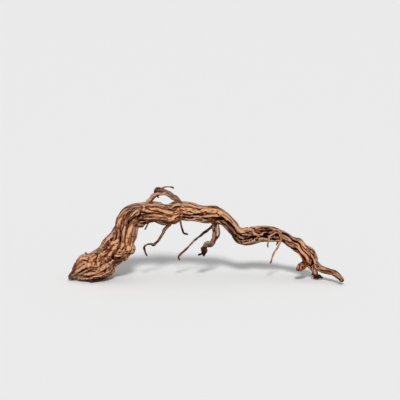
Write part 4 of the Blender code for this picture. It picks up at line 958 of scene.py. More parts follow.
# The wood's uneven patterns: the size of their lumps in mm along each axis, and a seed. In straightened
# places the axes run along a strand, out of it and across it.
PATTERNS = {
    "long_fibres": ((38, 3.4, 3.4), 1),
    "middle_fibres": ((18, 2.0, 2.0), 2),
    "fine_fibres": ((7, 1.3, 1.3), 3),
    "long_cracks": ((26, 3.6, 3.6), 4),
    "long_cracked_stretches": ((22, 5, 5), 5),
    "short_cracks": ((11, 2.8, 2.8), 14),
    "short_cracked_stretches": ((12, 5, 5), 15),
    "open_seams": ((24, 8, 8), 7),
    "bark_cracks": ((4.6, 3.8, 3.8), 16),
    "broad_burl_lumps": ((10, 9, 9), 6),
    "small_burl_lumps": ((3.4, 3.0, 3.0), 8),
    "cleft_edges_across": ((5, 5, 5), 11),
    "cleft_edges_down": ((5, 5, 5), 12),
    "dark_edges_across": ((3, 3, 3), 31),
    "dark_edges_down": ((3, 3, 3), 32),
    "underside_shade_patches": ((12, 9, 9), 25),
    "warm_stretches": ((60, 7, 7), 22),
    "pale_stretches": ((40, 5, 5), 24),
    "rootlet_bends_in_x": ((7, 1, 1), 41),
    "rootlet_bends_in_y": ((7, 1, 1), 42),
    "rootlet_bends_in_z": ((7, 1, 1), 43),
    "rootlet_swellings": ((5, 1, 1), 44),
    "rootlet_knots": ((11, 1, 1), 45),
}

# The front of the root, where nothing else says which way is outward
FRONT = (0.0, -1.0, 0.0)

# Keeps a row of zeros from being divided by zero
TINY = 1e-9


def smooth_route(points, step):
    """A Catmull-Rom line through rows of x, y, z and radius, as rows about one step apart."""
    knots = np.array(points, float)
    knots[:, :3] += ROUTE_SHIFT
    knots = np.vstack([2 * knots[0] - knots[1], knots, 2 * knots[-1] - knots[-2]])
    rows = []
    for a, b, c, d in zip(knots, knots[1:], knots[2:], knots[3:]):
        count = max(1, round(np.linalg.norm((c - b)[:3]) / step))
        t = (np.arange(count) / count)[:, None]
        rows.append(0.5 * (2 * b + (c - a) * t + (2 * a - 5 * b + 4 * c - d) * t ** 2
                           + (3 * b - a - 3 * c + d) * t ** 3))
    route = np.vstack(rows + [knots[-2][None]])
    route[:, 3] = np.maximum(route[:, 3], LEAST_RADIUS)
    return route


def route_lengths(route):
    """How far along the route each of its rows lies."""
    steps = np.linalg.norm(np.diff(route[:, :3], axis=0), axis=1)
    return np.concatenate([[0.0], np.cumsum(steps)])


def unit(rows):
    """The same directions, each with a length of one."""
    return rows / np.maximum(np.linalg.norm(rows, axis=1, keepdims=True), TINY)


def directions(route):
    """The direction in which the route runs at each of its rows."""
    return unit(np.gradient(route[:, :3], axis=0))


def square_to(rows, along):
    """The part of each row that is square to the direction along, at unit length."""
    return unit(rows - along * np.sum(rows * along, axis=1, keepdims=True))


def strand(route, out=None, warmth=0.0, light=0.0):
    """What later steps need of a strand: places, radii, lengths, direction, outward side and tones."""
    along = directions(route)
    if out is None:
        out = np.tile(FRONT, (len(route), 1))
    return {"place": route[:, :3], "radius": route[:, 3], "length": route_lengths(route),
            "along": along, "out": square_to(out, along), "warmth": warmth, "light": light}


def strand_fade(s, first, last):
    """How far a strand has come out of the trunk at these lengths along it."""
    rise = FADE_SHARE + (s - first) / FADE_LENGTH if first > 0 else np.ones_like(s)
    return np.minimum(1.0, np.minimum(rise, FADE_SHARE + (last - s) / FADE_LENGTH))


def bundle_strand(route, number, count, share, first, last):
    """One strand of a bundle: it winds slowly round the trunk, wanders and swells as it goes."""
    s = route_lengths(route)
    along = directions(route)
    front = square_to(np.tile(FRONT, (len(route), 1)), along)
    over = np.cross(front, along)
    wander_wave = WANDER_WAVE + WANDER_WAVE_STEP * (number % WAVE_KINDS)
    angle = (2 * math.pi * number / count + TWIST_PER_MM * s
             + WANDER_ANGLE * np.sin(s / wander_wave + WANDER_PHASE * number))
    swell = (1 + SWELL_SHARE * np.sin(s / SWELL_WAVE + SWELL_PHASE * number)
             + SLOW_SWELL_SHARE * np.sin(s / SLOW_SWELL_WAVE + SLOW_SWELL_PHASE * number))
    reach = STRAND_REACH + REACH_SHARE * np.sin(s / REACH_WAVE + REACH_PHASE * number)
    size = route[:, 3] * strand_fade(s, first, last)
    out = front * np.cos(angle)[:, None] + over * np.sin(angle)[:, None]
    rows = np.column_stack([route[:, :3] + out * (size * reach)[:, None], size * share * swell])
    inside = (s >= first) & (s <= last)
    return strand(rows[inside], out[inside])


def sunk_ends(points, route):
    """The same points with one added before and after, sunk towards the trunk's middle."""
    ends = []
    for spot in (points[0], points[-1]):
        place = np.array(spot[:3], float)
        middles = route[:, :3] - ROUTE_SHIFT
        middle = middles[np.argmin(np.linalg.norm(middles - place, axis=1))]
        ends.append((*(place + (middle - place) * SUNK_SHARE), SUNK_RADIUS_SHARE * spot[3]))
    return [ends[0], *points, ends[1]]


def away_from(rows, route):
    """The direction of each row away from the nearest place of a route."""
    gaps = rows[:, None, :3] - route[None, :, :3]
    nearest = np.argmin(np.sum(gaps ** 2, axis=2), axis=1)
    return unit(gaps[np.arange(len(rows)), nearest])


def tube(line, sides):
    """Rings along a strand, closed at both ends, as vertices and faces."""
    place, radius, along = line["place"], line["radius"], line["along"]
    side = np.cross(line["out"], along)
    turn = np.linspace(0, 2 * math.pi, sides, endpoint=False)
    ring = line["out"][:, None] * np.cos(turn)[:, None] + side[:, None] * np.sin(turn)[:, None]
    points = (place[:, None] + ring * radius[:, None, None]).reshape(-1, 3)
    points = np.vstack([points, place[0], place[-1]])
    faces = []
    for i in range(len(place) - 1):
        for j in range(sides):
            k = (j + 1) % sides
            faces.append((i * sides + j, i * sides + k, (i + 1) * sides + k, (i + 1) * sides + j))
    first, last = len(points) - 2, len(points) - 1
    end = (len(place) - 1) * sides
    for j in range(sides):
        k = (j + 1) % sides
        faces.append((k, j, first))
        faces.append((end + j, end + k, last))
    return points, faces


def ball(place, radius):
    """A knob, as vertices and faces."""
    shape = bmesh.new()
    bmesh.ops.create_icosphere(shape, subdivisions=BALL_SUBDIVISIONS, radius=radius)
    points = np.array([v.co for v in shape.verts]) + place + ROUTE_SHIFT
    faces = [tuple(v.index for v in face.verts) for face in shape.faces]
    shape.free()
    return points, faces


def piece_from(name, shapes):
    """One object that holds all the shapes, in metres."""
    points, faces = [], []
    start = 0
    for shape_points, shape_faces in shapes:
        points.append(shape_points)
        faces += [tuple(i + start for i in face) for face in shape_faces]
        start += len(shape_points)
    mesh = bpy.data.meshes.new(name)
    mesh.from_pydata((np.vstack(points) * MM).tolist(), [], faces)
    fix = bmesh.new()
    fix.from_mesh(mesh)
    bmesh.ops.recalc_face_normals(fix, faces=fix.faces)
    fix.to_mesh(mesh)
    fix.free()
    piece = bpy.data.objects.new(name, mesh)
    bpy.context.scene.collection.objects.link(piece)
    return piece


def grow_skin(piece, cell, least_body):
    """One skin over the crossing tubes, without loose parts of fewer vertices than the least body."""
    skin = piece.modifiers.new("skin", "REMESH")
    skin.mode = "VOXEL"
    skin.voxel_size = cell * MM
    evaluated = piece.evaluated_get(bpy.context.evaluated_depsgraph_get())
    mesh = bpy.data.meshes.new_from_object(evaluated)
    piece.modifiers.clear()
    piece.data = mesh
    drop_scraps(mesh, least_body)


def drop_scraps(mesh, least_body):
    """Drops loose scraps and sealed hollows, which have fewer vertices than the least body."""
    shape = bmesh.new()
    shape.from_mesh(mesh)
    seen = set()
    bodies = []
    for vertex in shape.verts:
        if vertex in seen:
            continue
        group = {vertex}
        queue = [vertex]
        while queue:
            for edge in queue.pop().link_edges:
                for other in edge.verts:
                    if other not in group:
                        group.add(other)
                        queue.append(other)
        seen |= group
        bodies.append(group)
    scraps = [vertex for group in bodies if len(group) < least_body for vertex in group]
    bmesh.ops.delete(shape, geom=scraps, context="VERTS")
    shape.to_mesh(mesh)
    shape.free()


def get_places(mesh):
    """The vertices' places in mm, one row each."""
    places = np.empty(len(mesh.vertices) * 3)
    mesh.vertices.foreach_get("co", places)
    return places.reshape(-1, 3) / MM


def set_places(mesh, places):
    """Moves the vertices to these places, which are in mm."""
    mesh.vertices.foreach_set("co", (places * MM).ravel())
    mesh.update()


def get_normals(mesh):
    """The vertices' outward directions, one row each."""
    normals = np.empty(len(mesh.vertices) * 3)
    mesh.vertex_normals.foreach_get("vector", normals)
    return normals.reshape(-1, 3)


def get_edges(mesh):
    """The two vertices of each edge, one row each."""
    edges = np.empty(len(mesh.edges) * 2, int)
    mesh.edges.foreach_get("vertices", edges)
    return edges.reshape(-1, 2)


def neighbour_mean(values, edges, times=1):
    """Each vertex's value after it has been evened out with its neighbours, so many times."""
    count = len(values)
    ties = np.bincount(edges.ravel(), minlength=count) + 1.0
    columns = np.array(values, float).reshape(count, -1)
    for _ in range(times):
        fresh = columns.copy()
        for k in range(columns.shape[1]):
            fresh[:, k] += np.bincount(edges[:, 0], columns[edges[:, 1], k], count)
            fresh[:, k] += np.bincount(edges[:, 1], columns[edges[:, 0], k], count)
        columns = fresh / ties[:, None]
    return columns.reshape(np.shape(values))


# Large odd numbers that spread neighbouring lattice corners far apart, and the bits that are kept
MIX_X = 374761393
MIX_Y = 668265263
MIX_Z = 1440662683
MIX_SEED = 974634777
MIX_AGAIN = 1274126177
FIRST_SHIFT = 13
SECOND_SHIFT = 16
LOW_32_BITS = 0xFFFFFFFF
LOW_24_BITS = 0xFFFFFF
HALF_OF_24_BITS = 0x7FFFFF


def hashed(x, y, z, seed):
    """A number between -1 and 1 for each lattice corner, the same every time."""
    mix = (x * MIX_X + y * MIX_Y + z * MIX_Z + seed * MIX_SEED) & LOW_32_BITS
    mix = ((mix ^ (mix >> FIRST_SHIFT)) * MIX_AGAIN) & LOW_32_BITS
    return ((mix ^ (mix >> SECOND_SHIFT)) & LOW_24_BITS) / HALF_OF_24_BITS - 1.0


def by_strand(owner, draw):
    """A number between -1 and 1 for each place's strand, the same all along that strand."""
    factor, shift, seed = draw
    return hashed(owner, owner * factor + shift, 0, seed)


def level_ended(t):
    """A curve from 0 to 1 that starts and ends level and without a bend."""
    return t * t * t * (t * (t * 6 - 15) + 10)


def pattern(places, name):
    """Smooth noise between -1 and 1, with lumps of the named pattern's size along each axis."""
    scale, seed = PATTERNS[name]
    spots = places / np.array(scale, float)
    low = np.floor(spots).astype(np.int64)
    part = level_ended(spots - low)
    total = np.zeros(len(places))
    for i in (0, 1):
        for j in (0, 1):
            for k in (0, 1):
                weight = (np.abs(1 - i - part[:, 0]) * np.abs(1 - j - part[:, 1])
                          * np.abs(1 - k - part[:, 2]))
                total += weight * hashed(low[:, 0] + i, low[:, 1] + j, low[:, 2] + k, seed)
    return total


def step_up(values, low, high):
    """0 below low, 1 above high and smooth between."""
    t = np.clip((values - low) / (high - low), 0, 1)
    return t * t * (3 - 2 * t)


def ridge(values, width):
    """1 where the values cross zero, falling to 0 beyond a width on either side."""
    return np.exp(-(values / width) ** 2)


def weighted_step(values, setting):
    """A step up as high as the setting's weight, between the two values that the setting gives."""
    weight, low, high = setting
    return weight * step_up(values, low, high)


# Strands are looked for in slices this long, and as far beyond a slice as this
SEARCH_BIN = 8.0
SEARCH_REACH = 15.0
# How far each strand's patterns are moved from those of the strand before, along it and out of it
NEXT_STRAND_ALONG = 173.0
NEXT_STRAND_OUT = 61.0


def along_strands(places, strands):
    """For each place: its nearest strand, its straightened place there and how much further the next is."""
    owner = np.concatenate([np.full(len(s["place"]), n) for n, s in enumerate(strands)])
    place = np.vstack([s["place"] for s in strands])
    radius = np.concatenate([s["radius"] for s in strands])
    length = np.concatenate([s["length"] for s in strands])
    along = np.vstack([s["along"] for s in strands])
    out = np.vstack([s["out"] for s in strands])
    nearest = np.zeros(len(places), int)
    spare = np.full(len(places), SEARCH_REACH)
    bins = np.floor(places[:, 0] / SEARCH_BIN).astype(int)
    for b in np.unique(bins):
        mine = np.nonzero(bins == b)[0]
        from_bin = np.abs(place[:, 0] - (b + 0.5) * SEARCH_BIN)
        close = np.nonzero(from_bin < SEARCH_BIN / 2 + SEARCH_REACH)[0]
        starts = np.nonzero(np.diff(owner[close], prepend=-1))[0]
        squares = (np.sum(places[mine] ** 2, axis=1)[:, None] + np.sum(place[close] ** 2, axis=1)[None]
                   - 2 * places[mine] @ place[close].T)
        reach = np.sqrt(np.maximum(squares, 0)) - radius[close]
        nearest[mine] = close[np.argmin(reach, axis=1)]
        if len(starts) > 1:
            each = np.sort(np.minimum.reduceat(reach, starts, axis=1), axis=1)
            spare[mine] = each[:, 1] - each[:, 0]
    offset = places - place[nearest]
    forward = np.sum(offset * along[nearest], axis=1)
    side = np.cross(out[nearest], along[nearest])
    straight = np.column_stack([
        length[nearest] + forward + NEXT_STRAND_ALONG * owner[nearest],
        np.sum(offset * out[nearest], axis=1) + NEXT_STRAND_OUT * owner[nearest],
        np.sum(offset * side, axis=1),
    ])
    return owner[nearest], straight, spare


def view_place(places):
    """Where places lie as seen from the front, in steps across and down."""
    height = places[:, 2] * math.cos(VIEW_TILT) + (places[:, 1] + VIEW_DEPTH) * math.sin(VIEW_TILT)
    return np.column_stack([places[:, 0] / VIEW_STEP + VIEW_MIDDLE, VIEW_BOTTOM - height / VIEW_STEP])


def seen_points(points):
    """Points given as seen from the front, with their y and radius, as x, y, z and radius."""
    rows = []
    for across, down, y, radius in points:
        depth = (y + ROUTE_SHIFT[1] + VIEW_DEPTH) * math.sin(VIEW_TILT)
        rows.append(((across - VIEW_MIDDLE) * VIEW_STEP, y,
                     ((VIEW_BOTTOM - down) * VIEW_STEP - depth) / math.cos(VIEW_TILT), radius + SKIN_LOSS))
    return rows


def line_distance(spots, points):
    """The distance of each spot from a bent line, and how far along it, from 0 to 1, the nearest point is."""
    points = np.array(points, float)
    lengths = np.concatenate([[0], np.cumsum(np.linalg.norm(np.diff(points, axis=0), axis=1))])
    best = np.full(len(spots), np.inf)
    share = np.zeros(len(spots))
    for i, (a, b) in enumerate(zip(points, points[1:])):
        t = np.clip(((spots - a) @ (b - a)) / ((b - a) @ (b - a)), 0, 1)
        distance = np.linalg.norm(spots - a - t[:, None] * (b - a), axis=1)
        nearer = distance < best
        best[nearer] = distance[nearer]
        share[nearer] = ((lengths[i] + t * (lengths[i + 1] - lengths[i])) / lengths[-1])[nearer]
    return best, share


def oval_distance(spots, across, down, wide, high):
    """The square of each spot's distance from an oval's middle: 1 on the oval itself."""
    return ((spots[:, 0] - across) / wide) ** 2 + ((spots[:, 1] - down) / high) ** 2


def tapered(share, slope, blunt):
    """1 along a line, and less near its two ends: down to blunt, and rising with this slope."""
    return np.minimum(1, np.minimum(share, 1 - share) * slope + blunt)


def ragged(spots, places, reach, edges):
    """The spots moved about by a reach in steps, so that what is marked there gets uneven edges."""
    across, down = (pattern(places, edges + way) for way in ("_across", "_down"))
    return spots + reach * np.column_stack([across, down])


# Marks show where the wood faces the view, and fully from this facing on
FULLY_SEEN = 0.35
# How far the edges of marks wander, in steps, and the slope and bluntness of their ends
CLEFT_RAGGED = 0.25
CLEFT_ENDS = (6, 0.25)
BAND_ENDS = (5, 0.2)
# How sharp the edges of pits and bands are, and how much wider than its tint a band's dome is
PIT_EDGE = 1.3
BAND_EDGE = 4
DOME_WIDTH = 1.25


def front_marks(places, normals):
    """What the marks on the front give each place: depth and lift in mm, tints with painted highlight and
    shade in them, and how far they cover.
    """
    facing = -normals[:, 1] * math.cos(VIEW_TILT) + normals[:, 2] * math.sin(VIEW_TILT)
    shown = step_up(facing, 0.0, FULLY_SEEN)
    spots = ragged(view_place(places), places, CLEFT_RAGGED, "cleft_edges")
    depth = np.zeros(len(places))
    for width, deep, points in CLEFTS:
        distance, share = line_distance(spots, points)
        cut = deep * tapered(share, *CLEFT_ENDS) * np.exp(-(distance * VIEW_STEP / width) ** 2)
        depth = np.maximum(depth, cut)
    for across, down, wide, high, deep in PITS:
        apart = oval_distance(spots, across, down, wide, high)
        depth = np.maximum(depth, deep * np.exp(-apart ** PIT_EDGE))
    warmth = np.zeros(len(places))
    light = np.zeros(len(places))
    lift = np.zeros(len(places))
    covered = np.zeros(len(places))
    for warm, bright, rise, width, points in BANDS:
        distance, share = line_distance(spots, points)
        ends = tapered(share, *BAND_ENDS)
        here = shown * np.exp(-(distance / width) ** BAND_EDGE)
        warmth += here * (warm - warmth)
        light += here * (bright - light)
        dome = np.sqrt(np.clip(1 - (distance / (width * DOME_WIDTH)) ** 2, 0, 1))
        lift = np.maximum(lift, rise * ends * dome * shown)
        covered = np.maximum(covered, here * ends)
    return depth * shown, warmth, light, lift, covered, shown


def swell(places, normals):
    """The places after the outline's swells and hollows, which move front and back alike."""
    spots = view_place(places)
    moved = places.copy()
    for across, down, reach, rise in SWELLS:
        apart = np.hypot(spots[:, 0] - across, spots[:, 1] - down) / reach
        share = np.exp(-apart ** 2)
        out = share @ normals * (1, 0, 1)
        moved += rise * share[:, None] * out / np.linalg.norm(out)
    return moved


# The burl begins where x plus this share of z is 90 mm to the left of the middle, and is full at 128 mm
BURL_Z_SHARE = 0.35
BURL_EDGE = (90, 128)


def burl_share(places):
    """How much the wood at each place is the lumpy burl of the butt: 1 there, 0 up the neck."""
    x, _, z = places.T
    return step_up(-(x + BURL_Z_SHARE * z), *BURL_EDGE)


# How far the edges of dark spots wander, in steps, and how sharp they are
DARK_RAGGED = 0.5
DARK_EDGE = 1.5


def dark_share(places, spots):
    """How black each place is painted, from a list of dark spots: dark wood and painted shade."""
    seen = ragged(view_place(places), places, DARK_RAGGED, "dark_edges")
    dark = np.zeros(len(places))
    for across, down, wide, high, how in spots:
        apart = oval_distance(seen, across, down, wide, high)
        dark = np.maximum(dark, how * np.exp(-apart ** DARK_EDGE))
    return dark


def toned_with_painted_light(places):
    """The warmth and lightness that stretches of the trunk add: the wood's own tone together with painted
    light and shade.
    """
    seen = view_place(places)
    warmth = np.zeros(len(places))
    light = np.zeros(len(places))
    for across, down, wide, high, warm, bright in TONES_AND_PAINTED_LIGHT:
        here = np.exp(-oval_distance(seen, across, down, wide, high))
        warmth += warm * here
        light += bright * here
    return warmth, light


# The cuts are shallow on the butt, deeper from the level stretch on and deepest from the slope on
BUTT_BITE = 0.5
LEVEL_BITE = (0.7, -60, -25)
SLOPE_BITE = (0.2, 30, 70)
# Listed marks follow the bite less than the rest does
MARKS_FIXED_SHARE = 0.2
MARKS_BITE_SHARE = 0.8

# Cracks: how wide their line is in the pattern's own units, and from what to what they open
LONG_CRACK_LINE = 0.12
LONG_CRACK_OPENS = (-0.1, 0.35)
SHORT_CRACK_LINE = 0.14
SHORT_CRACK_OPENS = (0.0, 0.4)
SHORT_CRACK_SHARE = 0.7
SHORT_CRACK_BURL_SHARE = 0.3
BARK_CRACK_LINE = 0.16
BARK_CRACK_DEPTH = 1.1

# Seams between strands: how open they are, how much that varies, its limits and what the burl takes off
SEAM_OPEN = 0.55
SEAM_VARIES = 0.8
SEAM_LIMITS = (0.08, 1.15)
SEAM_BURL_LOSS = 0.6

# How far the burl's lumps stand out, in mm, and how closely they follow the bite
BROAD_LUMP = 0.7
SMALL_LUMP = 1.2
LUMP_BITE_POWER = 0.5

# What a listed band takes off the patterns below it, and the seen side outside the burl too
COVERED_CALM = 0.85
SEEN_CALM = 0.55
COVERED_BARK_LOSS = 0.7
COVERED_LUMP_LOSS = 0.5
COVERED_FIBRE_LOSS = 0.6
COVERED_TONE_LOSS = 0.6

# How many times the outward directions are evened out before the skin is carved along them
NORMAL_TIMES = 2
# How many times the skin is evened out before a place is called high or low beside it
NEAR_TIMES = 3
WIDE_TIMES = 16

# What paints shade into clefts and hollows: a weight, and from what to what it counts, in mm
WIDE_HOLLOW = (0.6, 0.2, 1.4)
NEAR_HOLLOW = (0.55, 0.035, 0.3)
DEEP_MARK = (0.85, 0.6, 2.4)
SEAM_DARK = 0.5
CRACK_DARK = 0.5
BARK_CRACK_DARK = 0.4

# What makes a ridge paler, partly wear and partly a painted highlight, in the same way
WIDE_RIDGE = (0.55, -0.1, 0.9)
NEAR_RIDGE = (0.45, -0.02, 0.25)

# The underside is darkened with painted shade: how ragged its edge is, and from what slope to what slope
UNDERSIDE_SHADE_RAGGED = 0.25
UNDERSIDE_SHADE_SLOPE = (0.15, 0.95)

# Tints: how far strands differ, how far they vary along their length, and how much colder the wood is
# where it faces up or down
STRAND_WARMTH = 0.55
STRAND_WARMTH_DRAW = (7, 3, 21)
STRETCH_WARMTH = 0.5
STRAND_LIGHT = 0.35
STRAND_LIGHT_DRAW = (3, 1, 23)
STRETCH_LIGHT = 0.5
UP_AND_DOWN_COLDER = (0.7, 0.55, 0.95)
# The darkest and the palest that a strand can be, where 0 to 1 is the usual range
PALE_LIMITS = (-0.5, 1)


def cracks_of(straight, burl):
    """Drying cracks along the strands, from 0 to 1: long ones, and short ones that the burl has more of."""
    long_ones = ridge(pattern(straight, "long_cracks"), LONG_CRACK_LINE) * step_up(
        pattern(straight, "long_cracked_stretches"), *LONG_CRACK_OPENS)
    short_ones = ridge(pattern(straight, "short_cracks"), SHORT_CRACK_LINE) * step_up(
        pattern(straight, "short_cracked_stretches"), *SHORT_CRACK_OPENS)
    return np.maximum(long_ones, short_ones * (SHORT_CRACK_SHARE + SHORT_CRACK_BURL_SHARE * burl))


def seams_of(straight, spare, width, burl):
    """The seams between strands, from 0 to about 1: open in some stretches and nearly closed in others."""
    opening = np.clip(SEAM_OPEN + SEAM_VARIES * pattern(straight, "open_seams"), *SEAM_LIMITS)
    return ridge(spare, width) * (opening * (1 - SEAM_BURL_LOSS * burl))


def carve(piece, strands, settings):
    """Cuts the clefts, fibres and pits into a skin, and keeps what its material needs of them, painted shade
    and painted highlight among it.
    """
    mesh = piece.data
    edges = get_edges(mesh)
    places = neighbour_mean(get_places(mesh), edges)
    set_places(mesh, places)
    normals = unit(neighbour_mean(get_normals(mesh), edges, NORMAL_TIMES))
    owner, straight, spare = along_strands(places, strands)
    if settings["marks"]:
        places = swell(places, normals)
    marks, warmth, light, lift, covered, shown = (
        values * settings["marks"] for values in front_marks(places, normals))
    burl = burl_share(places) * settings["burl"]
    bite = (BUTT_BITE + weighted_step(places[:, 0], LEVEL_BITE)
            + weighted_step(places[:, 0], SLOPE_BITE))
    calm = 1 - np.maximum(COVERED_CALM * covered, SEEN_CALM * shown * (1 - burl))
    seams = seams_of(straight, spare, settings["seam_width"], burl) * calm * bite
    cracks = cracks_of(straight, burl) * calm * bite
    marks = marks * (MARKS_FIXED_SHARE + MARKS_BITE_SHARE * bite)
    bark = ridge(pattern(places, "bark_cracks"), BARK_CRACK_LINE) * burl
    bark = bark * (1 - COVERED_BARK_LOSS * covered) * bite
    lumps = (BROAD_LUMP * pattern(places, "broad_burl_lumps")
             + SMALL_LUMP * pattern(places, "small_burl_lumps")) * burl
    lumps = lumps * bite ** LUMP_BITE_POWER
    cut = (settings["seam_depth"] * seams + settings["crack_depth"] * cracks + BARK_CRACK_DEPTH * bark
           - lumps * (1 - COVERED_LUMP_LOSS * covered)
           - settings["long_fibres"] * pattern(straight, "long_fibres") * (1 - COVERED_FIBRE_LOSS * covered)
           - settings["middle_fibres"] * pattern(straight, "middle_fibres")
           - settings["fine_fibres"] * pattern(straight, "fine_fibres") + marks - lift)
    cut = np.minimum(cut, settings["deepest"])
    # The carved skin would pass the CAD box by up to 1.5 mm in places, so it is held inside
    low, high = (np.array(corner) / MM for corner in CAD_BOX)
    moved = np.clip(places - normals * cut[:, None], low, high)
    set_places(mesh, moved)

    fresh = unit(neighbour_mean(get_normals(mesh), edges))
    near = np.sum((moved - neighbour_mean(moved, edges, NEAR_TIMES)) * fresh, axis=1)
    wide = np.sum((moved - neighbour_mean(moved, edges, WIDE_TIMES)) * fresh, axis=1)
    # Painted shade: clefts, seams, cracks and hollows are darkened in colour
    cleft_shade = bite * (weighted_step(-wide, WIDE_HOLLOW) + weighted_step(-near, NEAR_HOLLOW)
                    + weighted_step(marks, DEEP_MARK)
                    + SEAM_DARK * seams + CRACK_DARK * cracks + BARK_CRACK_DARK * bark)
    # Ridges are lighter: wear together with a painted highlight
    wear_and_highlight = weighted_step(wide, WIDE_RIDGE) + weighted_step(near, NEAR_RIDGE)
    # Painted shade on the surfaces that face down
    underside_shade = step_up(-fresh[:, 2] + UNDERSIDE_SHADE_RAGGED * pattern(places, "underside_shade_patches"), *UNDERSIDE_SHADE_SLOPE)

    free = 1 - COVERED_TONE_LOSS * covered
    tone_warmth, tone_and_painted_light = (settings["marks"] * values for values in toned_with_painted_light(places))
    own_warmth = (np.array([line["warmth"] for line in strands])[owner]
                  + STRAND_WARMTH * free * by_strand(owner, STRAND_WARMTH_DRAW))
    own_light = (np.array([line["light"] for line in strands])[owner]
                 + STRAND_LIGHT * free * by_strand(owner, STRAND_LIGHT_DRAW))
    warm = (warmth + tone_warmth + own_warmth + STRETCH_WARMTH * free * pattern(straight, "warm_stretches")
            - weighted_step(np.abs(fresh[:, 2]), UP_AND_DOWN_COLDER))
    pale = light + tone_and_painted_light + own_light + STRETCH_LIGHT * free * pattern(straight, "pale_stretches")

    keep(mesh, "underside_shade", underside_shade)
    keep(mesh, "cleft_shade", np.clip(cleft_shade, 0, 1))
    keep(mesh, "wear_and_highlight", np.clip(wear_and_highlight, 0, 1))
    keep(mesh, "warmth", np.clip(0.5 + 0.5 * warm, 0, 1))
    keep(mesh, "pale", np.clip(0.5 + 0.5 * pale, *PALE_LIMITS))
    keep(mesh, "dark_wood_and_shade", dark_share(moved, settings["dark"]))
    grain = mesh.attributes.new("grain", "FLOAT_VECTOR", "POINT")
    grain.data.foreach_set("vector", straight.ravel())
    mesh.shade_smooth()


def keep(mesh, name, values):
    """Stores one number for each vertex, under the name that the material reads."""
    attribute = mesh.attributes.new(name, "FLOAT", "POINT")
    attribute.data.foreach_set("value", values)


def linear(code):
    """An sRGB hex value as linear red, green, blue and alpha."""
    parts = [int(code[i:i + 2], 16) / 255 for i in (1, 3, 5)]
    return tuple(p / 12.92 if p <= 0.04045 else ((p + 0.055) / 1.055) ** 2.4 for p in parts) + (1.0,)


def add(tree, kind, inputs=(), stops=(), **settings):
    """Adds a node, sets its properties and its (place, hex) colour stops, and sets or links its inputs."""
    item = tree.nodes.new(kind)
    for key, value in settings.items():
        setattr(item, key, value)
    if stops:
        elements = item.color_ramp.elements
        while len(elements) < len(stops):
            elements.new(0.5)
        for element, (spot, code) in zip(elements, stops):
            element.position = spot
            element.color = linear(code)
    for key, value in dict(inputs).items():
        if isinstance(value, bpy.types.NodeSocket):
            tree.links.new(value, item.inputs[key])
        else:
            item.inputs[key].default_value = value
    return item


# Fibres are about 0.3 mm wide; drawn 1.8 mm wide and 25 mm long so that they show
FIBRE_LONG = 25
FIBRE_WIDE = 1.8
# Blotches of the weathered wood, in mm
BLOTCH_LONG = 14
BLOTCH_WIDE = 5
# How far the fibres stand up, in mm
FIBRE_HEIGHT = 1.0


def bare_material(name):
    """A new material and its node tree, which is still empty."""
    material = bpy.data.materials.new(name)
    material.use_nodes = True
    material.node_tree.nodes.clear()
    return material, material.node_tree


